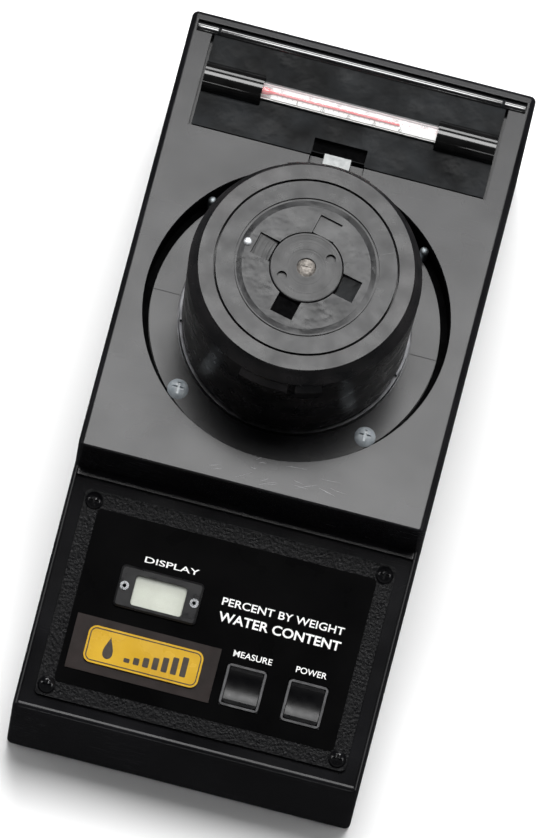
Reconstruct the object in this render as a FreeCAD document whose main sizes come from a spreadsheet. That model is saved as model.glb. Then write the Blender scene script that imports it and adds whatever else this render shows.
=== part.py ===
import FreeCAD, Part
import math
import os
import re
import Sketcher

# A bench meter for grain moisture: a plastic case with a sloped control panel at the front,
# a round test cell with a screw cap in the middle and a hinged battery lid, which carries a
# thermometer, at the back. Millimetres. X is across, +Y runs from the controls to the lid,
# +Z is up. The origin is under the middle of the case, on the surface that the feet stand on.
# "c_" names are local to the control panel, whose own frame lies on the sloped seat.

DIMENSIONS = {
    # case
    "case_width": 130, "case_length": 263, "wall": 3, "case_z": 6, "front_top": 45.3,
    "step_y": -42.85, "panel_z": 92, "back_bevel": 3.3, "back_drop": 1.1, "slope": 14,
    "edge_round": 2.2, "panel_edge_round": 0.8,
    "boss_x": 56.5, "boss_y": 122.5, "boss_radius": 6.5, "boss_height": 18, "boss_hole": 1.55,
    # base, feet and their screws
    "base_bottom": 2, "foot_x": 46, "foot_y": 108, "foot_radius": 7, "foot_seat": 0.6,
    "base_screw_head": 3.3, "base_screw_head_height": 1.8, "base_screw_shank": 1.5,
    "base_screw_length": 15, "base_hole": 1.75, "base_counterbore": 3.6, "base_counterbore_depth": 2,
    # sloped tray that the control plate sits in
    "rim_side": 1.6, "rim_end": 2.8, "rim_tilt": 5, "rim_depth": 2, "seat_thickness": 2.5,
    "c_window_width": 100, "c_window_height": 60, "c_boss_radius": 3, "c_boss_depth": 8,
    # control plate, its label and screws
    "plate_width": 117, "plate_height": 77.4, "plate_thickness": 1.5, "plate_round": 2,
    "label_width": 105.1, "label_height": 65, "label_thickness": 0.3, "label_corner_gap": 3.8,
    "c_screw_x": 54.7, "c_screw_y": 34.7, "c_screw_hole": 1.6, "c_screw_head": 3.35,
    "c_screw_head_height": 2.1, "c_screw_shank": 1.2, "c_screw_length": 8,
    # display
    "bezel_x": -23.25, "bezel_y": 7.2, "bezel_width": 30.9, "bezel_height": 15.6,
    "bezel_thickness": 1.6, "bezel_bevel": 0.7, "bezel_round": 1.6,
    "pane_x": -23.1, "pane_y": 6.7, "pane_width": 19.2, "pane_height": 11.2, "pane_thickness": 0.8,
    "pane_round": 1.2, "pane_gap": 0.1, "display_cut_width": 22, "display_cut_height": 12.6,
    "display_width": 23, "display_height": 18, "display_depth": 4, "display_pin_width": 2,
    "eyelet_y": 7.3, "eyelet_reach": 13.1, "eyelet_head": 1.65, "eyelet_head_height": 0.5,
    "eyelet_shank": 1.1, "eyelet_bore": 0.7, "eyelet_hole": 1.2, "eyelet_tail": 0.6,
    # badge
    "badge_x": -23.05, "badge_y": -16.05, "badge_width": 43.1, "badge_height": 13.7,
    "badge_thickness": 0.8, "badge_round": 3, "backing_y": -16.45, "backing_width": 54.1,
    "backing_height": 20.3, "backing_thickness": 0.3,
    # push keys
    "test_key_x": 14.95, "battery_key_x": 38.05, "key_y": -18.15, "key_frame_width": 14.7,
    "key_frame_height": 15.5, "key_frame_wall": 0.85, "key_frame_rise": 2.4, "key_frame_lip": 1.2,
    "key_frame_lip_height": 1, "key_cut_gap": 0.1, "key_gap": 0.25, "key_rise": 2.9,
    "key_flange": 1.2, "key_flange_height": 1, "key_flange_gap": 0.15, "key_round": 1.6,
    "key_dish_radius": 15, "key_dish_depth": 1, "key_stem": 4, "key_stem_bottom": 7.7,
    "switch_size": 12, "switch_height": 2,
    # circuit board behind the panel
    "board_width": 100, "board_height": 72, "board_thickness": 1.6, "board_top": 11.5,
    "standoff_x": 40, "standoff_y": 33.5, "standoff_radius": 2.5, "board_hole": 1.4,
    "board_screw_head": 2.5, "board_screw_head_height": 1.5, "board_screw_shank": 1.2,
    "board_screw_length": 8, "standoff_bore": 1.3,
    # recess round the test cell
    "cell_y": 25.9, "recess_radius": 56.5, "recess_depth": 14, "cell_hole": 41,
    "cell_counterbore": 45, "cell_shoulder": 44.8, "shoulder_thickness": 1.5,
    "flange_inner": 43, "flange_outer": 53.3, "flange_thickness": 3, "flange_seam": 0.3,
    "flange_screw_circle": 49.8, "flange_hole": 1.8, "flange_screw_head": 3.9,
    "flange_screw_head_height": 2.2, "flange_screw_shank": 1.5, "flange_screw_length": 5,
    # test cell
    "cup_inner": 36.5, "cup_outer": 38.5, "cup_top": 130, "cup_bottom": 48, "cup_lip": 33,
    "cup_lip_thickness": 2, "collar_radius": 42.4, "collar_top": 82.5, "lug_angle": 12.2,
    "lug_width": 2.6, "lug_height": 1.9, "insulator_thickness": 4, "insulator_gap": 0.2,
    "electrode_radius": 9, "electrode_top": 84, "electrode_bevel": 2, "stud_radius": 2.5,
    "stud_bottom": 42, "stud_gap": 0.1, "nut_radius": 4.6, "nut_height": 4,
    # screw cap
    "cap_top": 146, "cap_edge": 39.7, "cap_shoulder": 42.6, "cap_shoulder_drop": 7.5,
    "skirt_bottom": 85, "skirt_bottom_radius": 41.6, "skirt_inner": 39.1, "web_bottom": 136,
    "web_top": 139, "web_hole": 8, "crown_seat": 33.85, "grip_radius": 44.3, "grip_height": 10,
    "grip_top": 4,
    "grip_a_start": 99.5, "grip_a_angle": 12.7, "grip_b_start": 71.3, "grip_b_angle": 24.4,
    # crown in the cap, with its four windows
    "crown_radius": 33, "crown_wall": 3, "crown_thickness": 2.5, "crown_hole": 13.6,
    "crown_groove": 26.05, "crown_groove_width": 0.5, "crown_groove_depth": 0.8,
    "crown_dip": 0.4, "window_outer": 20.6, "window_width": 8.7, "window_turn": 13,
    "cone_hole": 13.9, "cone_top": 143.2, "cone_foot": 24, "cone_foot_top": 140.1,
    "cone_outer": 29.7, "pin_circle": 23.2, "pin_turn": 280, "pin_head": 1.7, "pin_shank": 0.9,
    "pin_gap": 0.05, "pin_sink": 0.6,
    # pressure indicator that slides through the cap
    "hub_radius": 13.3, "hub_top": 145.8, "hub_bottom": 142, "hub_bevel": 0.3, "stem_radius": 6,
    "stem_bottom": 105, "spanner_circle": 9.5, "spanner_radius": 1.85, "spanner_depth": 1.5,
    "spanner_turn": 55.6, "hub_screw_head": 3.5, "hub_screw_shank": 1.5, "hub_screw_length": 12,
    "hub_screw_sink": 0.5, "hub_screw_height": 0.6, "hub_hole_gap": 0.1,
    "pressure_radius": 35.9, "pressure_thickness": 4, "pressure_bevel": 1,
    "washer_inner": 6.4, "washer_outer": 20, "washer_bottom": 134.4, "washer_top": 135.7,
    "spring_radius": 10, "spring_wire": 1.2, "spring_turns": 6, "spring_gap": 0.3,
    # battery bay and hinged lid
    "bay_width": 104, "bay_front": 89, "bay_back": 118.5, "bay_floor": 45, "bay_wall": 2.5,
    "lid_front": 87.8, "lid_width": 110.2, "lid_bottom": 86.7, "lid_top": 91.7, "lid_gap": 0.6,
    "lid_side_gap": 1.1, "lid_seat": 86.5, "hinge_y": 125.2, "hinge_z": 91, "barrel_radius": 1.9,
    "pin_radius": 0.8, "pin_bore": 0.86, "channel_back": 127.9, "channel_floor": 87.5,
    "channel_width": 124.6, "knuckle_start": 55.8, "knuckle_length": 6.2, "knuckle_foot": 1.7,
    "lid_rib": 2.2, "lid_pocket_depth": 2.8,
    # catch at the lid's front edge
    "notch_width": 20, "notch_back": 94.3, "notch_ledge": 88.8, "notch_ledge_front": 89.9,
    "notch_border": 1.2, "notch_border_height": 0.4, "panel_cut_front": 84.1,
    "tongue_width": 10, "tongue_front": 85.2, "tongue_back": 86.9, "tongue_nose": 89.4,
    "tongue_top": 91.4, "tongue_nose_bottom": 89.1, "tongue_bottom": 84, "tongue_gap": 0.3,
    # thermometer
    "tube_y": 106.6, "tube_z": 93, "tube_radius": 3.4, "tube_bore": 2.7, "tube_length": 103,
    "sleeve_radius": 5.5, "sleeve_start": 33, "sleeve_end": 55.1, "sleeve_bore": 3.45,
    "sleeve_cap": 2, "trough_gap": 0.1, "glass_trough": 3.75, "strip_width": 4.4,
    "strip_thickness": 0.5, "strip_drop": 0.9, "strip_start": 29.5, "strip_end": 50,
    "column_radius": 0.4, "column_end": 19, "column_rise": 0.15, "bulb_radius": 1.4,
    "bulb_start": 36, "bulb_end": 30,
    # battery
    "battery_x": -8, "battery_length": 46.5, "battery_width": 26.5, "battery_height": 17.5,
    "terminal_radius": 3, "terminal_height": 2.6, "terminal_spacing": 12.7, "snap_thickness": 4.5,
    "snap_width": 26, "snap_height": 13, "snap_gap": 0.2,
}

TURN = 360
UP = FreeCAD.Vector(0, 0, 1)

doc = FreeCAD.newDocument("grain_moisture_meter")
sheet = doc.addObject("Spreadsheet::Sheet", "Dims")
for row, (word, number) in enumerate(DIMENSIONS.items(), start=1):
    sheet.set(f"A{row}", word)
    sheet.set(f"B{row}", str(number))
    sheet.setAlias(f"B{row}", word)
doc.recompute()

# Heights and places that follow from the driving dimensions, as formulas.
TAN = "tan(slope*1deg)"
SIN = "sin(slope*1deg)"
COS = "cos(slope*1deg)"
BACK = "case_length/2"
RIM_Y = "(step_y - case_length/2)/2"
RIM_Z = f"(front_top + {TAN}*({RIM_Y} + {BACK}))"
SEAT_Y = f"({RIM_Y} + rim_depth*{SIN})"
SEAT_Z = f"({RIM_Z} - rim_depth*{COS})"
TRAY_LENGTH = f"((step_y + {BACK})/{COS} - 2*rim_end)"
RECESS_FLOOR = "(panel_z - recess_depth)"
FLANGE_TOP = f"({RECESS_FLOOR} + flange_thickness)"
LABEL_TOP = "(plate_thickness + label_thickness)"
BEZEL_TOP = f"({LABEL_TOP} + bezel_thickness)"

WORDS = re.compile(r"(?<![\w.])(" + "|".join(DIMENSIONS) + r")(?![\w.(])")
parts = []


def formula(text):
    """The text with every sheet word written as a reference to its cell."""
    return WORDS.sub(r"Dims.\1", str(text))


def value(text):
    return float(sheet.evalExpression(formula(text)))


def bind(item, name, text):
    item.setExpression(name, formula(text))


def place(item, x="0", y="0", z="0"):
    """Put an item at a point of the part's frame."""
    item.Placement = FreeCAD.Placement(FreeCAD.Vector(value(x), value(y), value(z)),
                                       item.Placement.Rotation)
    for axis, text in zip("xyz", (x, y, z)):
        bind(item, f"Placement.Base.{axis}", text)
    return item


def on_cell(item):
    return place(item, "0", "cell_y", "0")


def on_slope(item):
    """Lay an item that was drawn flat on the sloped seat of the control panel."""
    item.Placement = FreeCAD.Placement(FreeCAD.Vector(0, value(SEAT_Y), value(SEAT_Z)),
                                       FreeCAD.Rotation(FreeCAD.Vector(1, 0, 0), value("slope")))
    bind(item, "Placement.Base.y", SEAT_Y)
    bind(item, "Placement.Base.z", SEAT_Z)
    bind(item, "Placement.Rotation.Angle", "slope")
    return item


def node(item, label):
    """Keep an item as a sub-part; its label names its file."""
    item.Label = label
    parts.append(item)
    return item


# Sketches and features

def new_body(name):
    return doc.addObject("PartDesign::Body", name)


def origin_feature(body, role):
    return next(item for item in body.Origin.OriginFeatures if item.Role == role)


def sketch(body, plane="XY_Plane", x="0", y="0", z="0", tilt="0", turn="0"):
    """A sketch on one of the body's planes, shifted, then tilted about x or turned about z."""
    item = body.newObject("Sketcher::SketchObject", "Sketch")
    item.AttachmentSupport = [(origin_feature(body, plane), "")]
    item.MapMode = "FlatFace"
    axis = FreeCAD.Vector(1, 0, 0) if value(tilt) else UP
    angle = tilt if value(tilt) else turn
    item.AttachmentOffset = FreeCAD.Placement(FreeCAD.Vector(value(x), value(y), value(z)),
                                              FreeCAD.Rotation(axis, value(angle)))
    for letter, text in zip("xyz", (x, y, z)):
        bind(item, f"AttachmentOffset.Base.{letter}", text)
    if value(angle):
        bind(item, "AttachmentOffset.Rotation.Angle", angle)
    return item


def pin_point(item, geometry, corner, x, y):
    """Hold one point of a sketch at x, y."""
    for kind, text, axis in (("DistanceX", x, -2), ("DistanceY", y, -1)):
        if abs(value(text)) < 1e-9:
            item.addConstraint(Sketcher.Constraint("PointOnObject", geometry, corner, axis))
            continue
        index = item.addConstraint(
            Sketcher.Constraint(kind, -1, 1, geometry, corner, value(text)))
        bind(item, f"Constraints[{index}]", text)


def outline(item, points):
    """A closed outline of straight lines through points given as formulas."""
    first = item.GeometryCount
    spots = [FreeCAD.Vector(value(x), value(y), 0) for x, y in points]
    for index, spot in enumerate(spots):
        item.addGeometry(Part.LineSegment(spot, spots[(index + 1) % len(spots)]), False)
    for index in range(len(spots)):
        following = first + (index + 1) % len(spots)
        item.addConstraint(Sketcher.Constraint("Coincident", first + index, 2, following, 1))
    for index, (x, y) in enumerate(points):
        pin_point(item, first + index, 1, x, y)
    return item


def rectangle(item, width, height, x="0", y="0"):
    left, right = f"({x}) - ({width})/2", f"({x}) + ({width})/2"
    low, high = f"({y}) - ({height})/2", f"({y}) + ({height})/2"
    return outline(item, [(left, low), (right, low), (right, high), (left, high)])


def circle(item, radius, x="0", y="0"):
    index = item.addGeometry(
        Part.Circle(FreeCAD.Vector(value(x), value(y), 0), UP, value(radius)), False)
    number = item.addConstraint(Sketcher.Constraint("Radius", index, value(radius)))
    bind(item, f"Constraints[{number}]", radius)
    if abs(value(x)) < 1e-9 and abs(value(y)) < 1e-9:
        item.addConstraint(Sketcher.Constraint("Coincident", index, 3, -1, 1))
    else:
        pin_point(item, index, 3, x, y)
    return item


def corners(item, radius, x, y):
    """Four circles at plus and minus x and y."""
    for side in ("", "-"):
        for end in ("", "-"):
            circle(item, radius, f"{side}({x})", f"{end}({y})")
    return item


def extrude(body, kind, profile, length, symmetric=False, reverse=False):
    feature = body.newObject(f"PartDesign::{kind}", kind)
    feature.Profile = profile
    bind(feature, "Length", length)
    if symmetric:
        feature.SideType = "Symmetric"
    feature.Reversed = reverse
    before = body.Shape.Volume if kind == "Pocket" else None
    doc.recompute()
    if before is not None and body.Shape.Volume >= before - 1e-6:
        raise RuntimeError(f"a pocket in {body.Name} cuts nothing")
    return feature


def pad(body, profile, length, symmetric=False, reverse=False):
    return extrude(body, "Pad", profile, length, symmetric, reverse)


def pocket(body, profile, length, symmetric=False, reverse=False):
    return extrude(body, "Pocket", profile, length, symmetric, reverse)


def revolve(name, points):
    """A body turned about Z from an outline of radius, height pairs."""
    body = new_body(name)
    profile = outline(sketch(body, "XZ_Plane"), points)
    feature = body.newObject("PartDesign::Revolution", "Revolution")
    feature.Profile = profile
    feature.ReferenceAxis = (profile, ["V_Axis"])
    feature.Angle = TURN
    doc.recompute()
    return body


def polar(body, feature, count):
    pattern = body.newObject("PartDesign::PolarPattern", "PolarPattern")
    pattern.Originals = [feature]
    pattern.Axis = (origin_feature(body, "Z_Axis"), [""])
    pattern.Angle = TURN
    pattern.Occurrences = count
    body.Tip = pattern
    doc.recompute()
    return pattern


def dress(body, kind, size, wanted):
    """Round or bevel the edges of a body that a test picks."""
    base = body.Tip
    names = [f"Edge{index}" for index, edge in enumerate(base.Shape.Edges, start=1)
             if wanted(edge)]
    feature = body.newObject(f"PartDesign::{kind}", kind)
    feature.Base = (base, names)
    bind(feature, "Radius" if kind == "Fillet" else "Size", size)
    doc.recompute()
    return feature


def is_upright(edge):
    box = edge.BoundBox
    return box.XLength < 1e-4 and box.YLength < 1e-4


def plate(name, width, height, thickness, x="0", y="0", z="0", rounding=None):
    """A flat body, its upright edges rounded where a radius is given."""
    body = new_body(name)
    pad(body, rectangle(sketch(body, z=z), width, height, x, y), thickness)
    if rounding:
        dress(body, "Fillet", rounding, is_upright)
    return body


# Primitives

def block(width, depth, height, x="0", y="0", z="0"):
    """A box centred on x and y, standing on z."""
    item = doc.addObject("Part::Box", "Box")
    bind(item, "Length", width)
    bind(item, "Width", depth)
    bind(item, "Height", height)
    return place(item, f"({x}) - ({width})/2", f"({y}) - ({depth})/2", z)


def rod(radius, length, x="0", y="0", z="0", along_x=False, angle=None, turn="0"):
    """A cylinder that starts at x, y, z and runs up, or along X."""
    item = doc.addObject("Part::Cylinder", "Cylinder")
    bind(item, "Radius", radius)
    bind(item, "Height", length)
    if angle:
        bind(item, "Angle", angle)
        item.Placement.Rotation = FreeCAD.Rotation(UP, value(turn))
    if along_x:
        item.Placement.Rotation = FreeCAD.Rotation(FreeCAD.Vector(0, 1, 0), TURN / 4)
    return place(item, x, y, z)


def ball(radius, x="0", y="0", z="0"):
    item = doc.addObject("Part::Sphere", "Sphere")
    bind(item, "Radius", radius)
    return place(item, x, y, z)


def fuse(*items):
    item = doc.addObject("Part::MultiFuse", "Fusion")
    item.Shapes = list(items)
    return item


def cut(base, *tools):
    item = doc.addObject("Part::Cut", "Cut")
    item.Base = base
    item.Tool = tools[0] if len(tools) == 1 else fuse(*tools)
    return item


def common(first, second):
    item = doc.addObject("Part::Common", "Common")
    item.Base = first
    item.Tool = second
    return item


def group(items):
    item = doc.addObject("Part::Compound", "Compound")
    item.Links = list(items)
    return item


def repeat(item, spots):
    """Copies of one item at several points, as a group of separate solids."""
    copies = []
    for x, y, z in spots:
        copy = doc.addObject("App::Link", "Copy")
        copy.LinkedObject = item
        copy.Placement = FreeCAD.Placement(
            FreeCAD.Vector(value(x), value(y), value(z)), FreeCAD.Rotation())
        for axis, text in zip("xyz", (x, y, z)):
            bind(copy, f"Placement.Base.{axis}", text)
        copies.append(copy)
    return group(copies)


def at_corners(x, y, z="0"):
    return [(f"{side}({x})", f"{end}({y})", z) for side in ("", "-") for end in ("", "-")]


def pan_screw(head, height, shank, length, recess="cross"):
    """A screw whose head stands on the origin and whose shank hangs below it."""
    crown = f"(({head})^2 + ({height})^2)/(2*({height}))"
    dome = common(ball(crown, z=f"({height}) - {crown}"), rod(head, height))
    screw = fuse(dome, rod(shank, length, z=f"-({length})"))
    slot_width, slot_depth = f"({head})*0.24", f"({height})*0.6"
    floor = f"({height}) - {slot_depth}"
    along = block(f"({head})*1.15", slot_width, slot_depth, z=floor)
    if recess == "slot":
        return cut(screw, along)
    return cut(screw, along, block(slot_width, f"({head})*1.15", slot_depth, z=floor))


# Case

def make_upper_case():
    body = new_body("UpperCase")
    rim = f"rim_end*{COS}"
    rise = f"({TAN} - tan(rim_tilt*1deg))*{rim}"
    top_of_slope = f"front_top + {TAN}*(step_y + {BACK})"
    shell = outline(sketch(body, "YZ_Plane"), [
        (f"-{BACK}", "case_z"), (f"-{BACK}", f"front_top + {rise}"),
        (f"-{BACK} + {rim}", f"front_top + {TAN}*{rim}"),
        (f"step_y - {rim}", f"{top_of_slope} - {TAN}*{rim}"),
        ("step_y", f"{top_of_slope} - {rise}"), ("step_y", "panel_z"),
        (f"{BACK} - back_bevel", "panel_z"), (BACK, "panel_z - back_drop"), (BACK, "case_z")])
    pad(body, shell, "case_width", symmetric=True)

    step, panel, low = value("step_y"), value("panel_z"), value("case_z")
    end = value(BACK)

    def is_outer_edge(edge):
        box = edge.BoundBox
        across = box.XLength > 1
        at_end = abs(abs(box.Center.y) - end) < 1e-3
        return (at_end or not across) and box.ZMax > low + 1e-3

    def is_panel_front(edge):
        box = edge.BoundBox
        return box.XLength > 100 and abs(box.YMin - step) < 1e-3 and box.ZMin > panel - 0.1

    dress(body, "Fillet", "edge_round", is_outer_edge)
    dress(body, "Fillet", "panel_edge_round", is_panel_front)

    def ceiling(y):
        return f"front_top + {TAN}*({y} + {BACK}) - (rim_depth + seat_thickness)/{COS}"

    front, step_inside = f"-{BACK} + wall", "step_y + wall"
    cavity = outline(sketch(body, "YZ_Plane"), [
        (front, "case_z - 1"), (front, ceiling(front)), (step_inside, ceiling(step_inside)),
        (step_inside, "panel_z - wall"), (f"{BACK} - wall", "panel_z - wall"),
        (f"{BACK} - wall", "case_z - 1")])
    pocket(body, cavity, "case_width - 2*wall", symmetric=True)

    # pot under the recess, box round the battery bay and the shelf under the hinge
    pot = circle(sketch(body, z=f"{RECESS_FLOOR} - wall"), "recess_radius + wall", "0", "cell_y")
    pad(body, pot, "recess_depth + wall/2")
    bay_y, bay_depth = "(bay_front + bay_back)/2", "bay_back - bay_front"
    bay = rectangle(sketch(body, z="bay_floor - bay_wall"), "bay_width + 2*bay_wall",
                    f"{bay_depth} + 2*bay_wall", "0", bay_y)
    pad(body, bay, "panel_z - bay_floor")
    shelf_front = "(lid_front - bay_wall)"
    shelf = rectangle(sketch(body, z="lid_seat - bay_wall"), "case_width - 2*wall + 1",
                      f"{BACK} - wall - {shelf_front} + 0.5", "0",
                      f"({BACK} - wall + {shelf_front} + 0.5)/2")
    pad(body, shelf, "panel_z - wall/2 - lid_seat + bay_wall")
    pad(body, corners(sketch(body, z="case_z"), "boss_radius", "boss_x", "boss_y"), "boss_height")
    slope_bosses = corners(sketch(body, y=SEAT_Y, z=SEAT_Z, tilt="slope"), "c_boss_radius",
                           "c_screw_x", "c_screw_y")
    pad(body, slope_bosses, "c_boss_depth", reverse=True)

    # sloped tray, its window and its screw holes
    tray = rectangle(sketch(body, y=RIM_Y, z=RIM_Z, tilt="slope"),
                     "case_width - 2*rim_side", TRAY_LENGTH)
    pocket(body, tray, "rim_depth")
    seat = {"y": SEAT_Y, "z": SEAT_Z, "tilt": "slope"}
    pocket(body, rectangle(sketch(body, **seat), "c_window_width", "c_window_height"),
           "seat_thickness + 1")
    holes = corners(sketch(body, **seat), "c_screw_shank + 0.1", "c_screw_x", "c_screw_y")
    pocket(body, holes, "c_boss_depth - 0.8")

    # recess, the hole for the cell and the seat of its shoulder
    on_panel = {"z": "panel_z"}
    pocket(body, circle(sketch(body, **on_panel), "recess_radius", "0", "cell_y"), "recess_depth")
    pocket(body, circle(sketch(body, **on_panel), "cell_counterbore", "0", "cell_y"),
           "recess_depth + shoulder_thickness")
    pocket(body, circle(sketch(body, **on_panel), "cell_hole", "0", "cell_y"),
           "recess_depth + wall + 1")
    flange_holes = sketch(body, z=RECESS_FLOOR)
    for side in ("", "-"):
        for end in ("", "-"):
            circle(flange_holes, "flange_screw_shank + 0.1",
                   f"{side}flange_screw_circle*cos(45deg)",
                   f"cell_y + {end}flange_screw_circle*sin(45deg)")
    pocket(body, flange_holes, "wall - 0.4")

    # lid opening, hinge channel, battery bay and the slot of the catch
    opening_front, opening_back = "lid_front - lid_gap", "hinge_y - barrel_radius"
    opening = rectangle(sketch(body, **on_panel), "lid_width + 2*lid_side_gap",
                        f"{opening_back} - ({opening_front})", "0",
                        f"({opening_back} + {opening_front})/2")
    pocket(body, opening, "panel_z - lid_seat")
    channel = rectangle(sketch(body, **on_panel), "channel_width",
                        f"channel_back - ({opening_back})", "0",
                        f"(channel_back + {opening_back})/2")
    pocket(body, channel, "panel_z - channel_floor")
    pocket(body, rectangle(sketch(body, **on_panel), "bay_width", bay_depth, "0", bay_y),
           "panel_z - bay_floor")
    panel_cut = rectangle(sketch(body, **on_panel), "notch_width + 2*tongue_gap",
                          f"{opening_front} + 0.1 - panel_cut_front", "0",
                          f"({opening_front} + 0.1 + panel_cut_front)/2")
    pocket(body, panel_cut, "panel_z - lid_seat")
    slot_back = "tongue_back + tongue_gap"
    slot = rectangle(sketch(body, **on_panel), "tongue_width + 2*tongue_gap",
                     f"{slot_back} - panel_cut_front", "0", f"({slot_back} + panel_cut_front)/2")
    pocket(body, slot, "panel_z - tongue_bottom + tongue_gap")

    # end knuckles of the hinge, each on a foot
    for start in ("knuckle_start", "-knuckle_start - knuckle_length"):
        foot = rectangle(sketch(body, "YZ_Plane", z=start), "2*knuckle_foot",
                         "hinge_z - channel_floor + 1", "hinge_y",
                         "(hinge_z + channel_floor - 1)/2")
        pad(body, foot, "knuckle_length")
        knuckle = circle(sketch(body, "YZ_Plane", z=start), "barrel_radius", "hinge_y", "hinge_z")
        pad(body, knuckle, "knuckle_length")
    pin_hole = circle(sketch(body, "YZ_Plane"), "pin_bore", "hinge_y", "hinge_z")
    pocket(body, pin_hole, "channel_width", symmetric=True)

    boss_holes = corners(sketch(body, z="case_z"), "boss_hole", "boss_x", "boss_y")
    pocket(body, boss_holes, "boss_height - 2", reverse=True)
    return node(body, "upper_case")


def make_base_plate():
    body = new_body("BasePlate")
    pad(body, rectangle(sketch(body, z="base_bottom"), "case_width", "case_length"),
        "case_z - base_bottom")
    dress(body, "Fillet", "edge_round", is_upright)
    pocket(body, corners(sketch(body, z="base_bottom"), "foot_radius + 0.1", "foot_x", "foot_y"),
           "foot_seat", reverse=True)
    pocket(body, corners(sketch(body, z="base_bottom"), "base_counterbore", "boss_x", "boss_y"),
           "base_counterbore_depth", reverse=True)
    pocket(body, corners(sketch(body, z="base_bottom"), "base_hole", "boss_x", "boss_y"),
           "case_z - base_bottom", reverse=True)
    return node(body, "base_plate")


def make_feet():
    foot = revolve("Foot", [
        ("0", "0"), ("foot_radius - 0.9", "0"), ("foot_radius", "0.9"),
        ("foot_radius", "base_bottom + foot_seat"), ("0", "base_bottom + foot_seat")])
    return node(repeat(foot, at_corners("foot_x", "foot_y")), "rubber_feet")


def make_base_screws():
    """Screws driven up from below, their heads in the counterbores."""
    head_bottom = "base_bottom + base_counterbore_depth - base_screw_head_height"
    screw = pan_screw("base_screw_head", "base_screw_head_height", "base_screw_shank",
                      "base_screw_length")
    doc.recompute()
    turned = doc.addObject("Part::Mirroring", "Mirroring")
    turned.Source = screw
    turned.Normal = UP
    spots = at_corners("boss_x", "boss_y", f"{head_bottom} + base_screw_head_height")
    return node(repeat(turned, spots), "base_screws")


# Control panel; drawn flat, with z = 0 on the seat

def make_control_plate():
    body = plate("ControlPlate", "plate_width", "plate_height", "plate_thickness",
                 rounding="plate_round")
    pocket(body, corners(sketch(body), "c_screw_hole", "c_screw_x", "c_screw_y"),
           "plate_thickness", reverse=True)
    cut_display_and_keys(body, "0", "plate_thickness")
    return node(on_slope(body), "control_plate")


def cut_display_and_keys(body, bottom, thickness):
    """The openings that the plate and its label share."""
    openings = sketch(body, z=bottom)
    rectangle(openings, "display_cut_width", "display_cut_height", "pane_x", "pane_y")
    for key_x in ("test_key_x", "battery_key_x"):
        rectangle(openings, "key_frame_width + 2*key_cut_gap",
                  "key_frame_height + 2*key_cut_gap", key_x, "key_y")
    for side in ("-", "+"):
        circle(openings, "eyelet_hole", f"pane_x {side} eyelet_reach", "eyelet_y")
    pocket(body, openings, thickness, reverse=True)


def make_label():
    body = plate("Label", "label_width", "label_height", "label_thickness", z="plate_thickness")
    pocket(body, corners(sketch(body, z="plate_thickness"), "label_corner_gap",
                         "c_screw_x", "c_screw_y"), "label_thickness", reverse=True)
    cut_display_and_keys(body, "plate_thickness", "label_thickness")
    return node(on_slope(body), "panel_label")


def make_badge():
    backing = plate("BadgeBacking", "backing_width", "backing_height", "backing_thickness",
                    "badge_x", "backing_y", LABEL_TOP)
    node(on_slope(backing), "badge_backing")
    badge = plate("Badge", "badge_width", "badge_height", "badge_thickness",
                  "badge_x", "badge_y", f"{LABEL_TOP} + backing_thickness", "badge_round")
    node(on_slope(badge), "badge_plate")


def make_plate_screws():
    screw = pan_screw("c_screw_head", "c_screw_head_height", "c_screw_shank", "c_screw_length")
    spots = at_corners("c_screw_x", "c_screw_y", "plate_thickness")
    return node(on_slope(repeat(screw, spots)), "plate_screws")


def make_display():
    bezel = plate("Bezel", "bezel_width", "bezel_height", "bezel_thickness",
                  "bezel_x", "bezel_y", LABEL_TOP, "bezel_round")
    top = value(BEZEL_TOP)
    dress(bezel, "Chamfer", "bezel_bevel", lambda edge: edge.BoundBox.ZMin > top - 1e-3)
    window = rectangle(sketch(bezel, z=LABEL_TOP), "pane_width", "pane_height",
                       "pane_x", "pane_y")
    pocket(bezel, window, "bezel_thickness", reverse=True)
    eyes = sketch(bezel, z=LABEL_TOP)
    for side in ("-", "+"):
        circle(eyes, "eyelet_hole", f"pane_x {side} eyelet_reach", "eyelet_y")
    pocket(bezel, eyes, "bezel_thickness", reverse=True)
    inner = value("pane_width") / 2 + 1e-3

    def is_window_corner(edge):
        middle = edge.BoundBox.Center
        return is_upright(edge) and abs(abs(middle.x - value("pane_x")) - inner) < 0.1

    dress(bezel, "Fillet", "pane_round", is_window_corner)
    node(on_slope(bezel), "display_bezel")

    pane = plate("Pane", "pane_width - 2*pane_gap", "pane_height - 2*pane_gap", "pane_thickness",
                 "pane_x", "pane_y", LABEL_TOP, "pane_round")
    node(on_slope(pane), "display_window")

    eyelet = cut(fuse(rod("eyelet_head", "eyelet_head_height"),
                      rod("eyelet_shank", f"{BEZEL_TOP} + eyelet_tail",
                          z=f"-{BEZEL_TOP} - eyelet_tail")),
                 rod("eyelet_bore", f"{BEZEL_TOP} + 2", z=f"-{BEZEL_TOP} - 1"))
    spots = [(f"pane_x {side} eyelet_reach", "eyelet_y", BEZEL_TOP) for side in ("-", "+")]
    node(on_slope(repeat(eyelet, spots)), "bezel_eyelets")

    glass = block("display_cut_width - 0.4", "display_cut_height - 0.4",
                  "plate_thickness + 0.2", "pane_x", "pane_y", "-0.3")
    carrier = block("display_width", "display_height", "display_depth", "pane_x", "pane_y",
                    "-0.2 - display_depth")
    pins = [block("display_width - 4", "display_pin_width", "board_top - display_depth - 0.2",
                  "pane_x", f"pane_y {side} display_height/2 - ({side}2)", "-board_top")
            for side in ("-", "+")]
    node(on_slope(fuse(glass, carrier, *pins)), "display_module")


def key_ring(width, height, thickness, x, z):
    """A square ring round one key, open for the key cap."""
    outer = block(width, height, thickness, x, "key_y", z)
    inner = block("key_frame_width - 2*key_frame_wall", "key_frame_height - 2*key_frame_wall",
                  f"{thickness} + 2", x, "key_y", f"{z} - 1")
    return cut(outer, inner)


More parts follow.
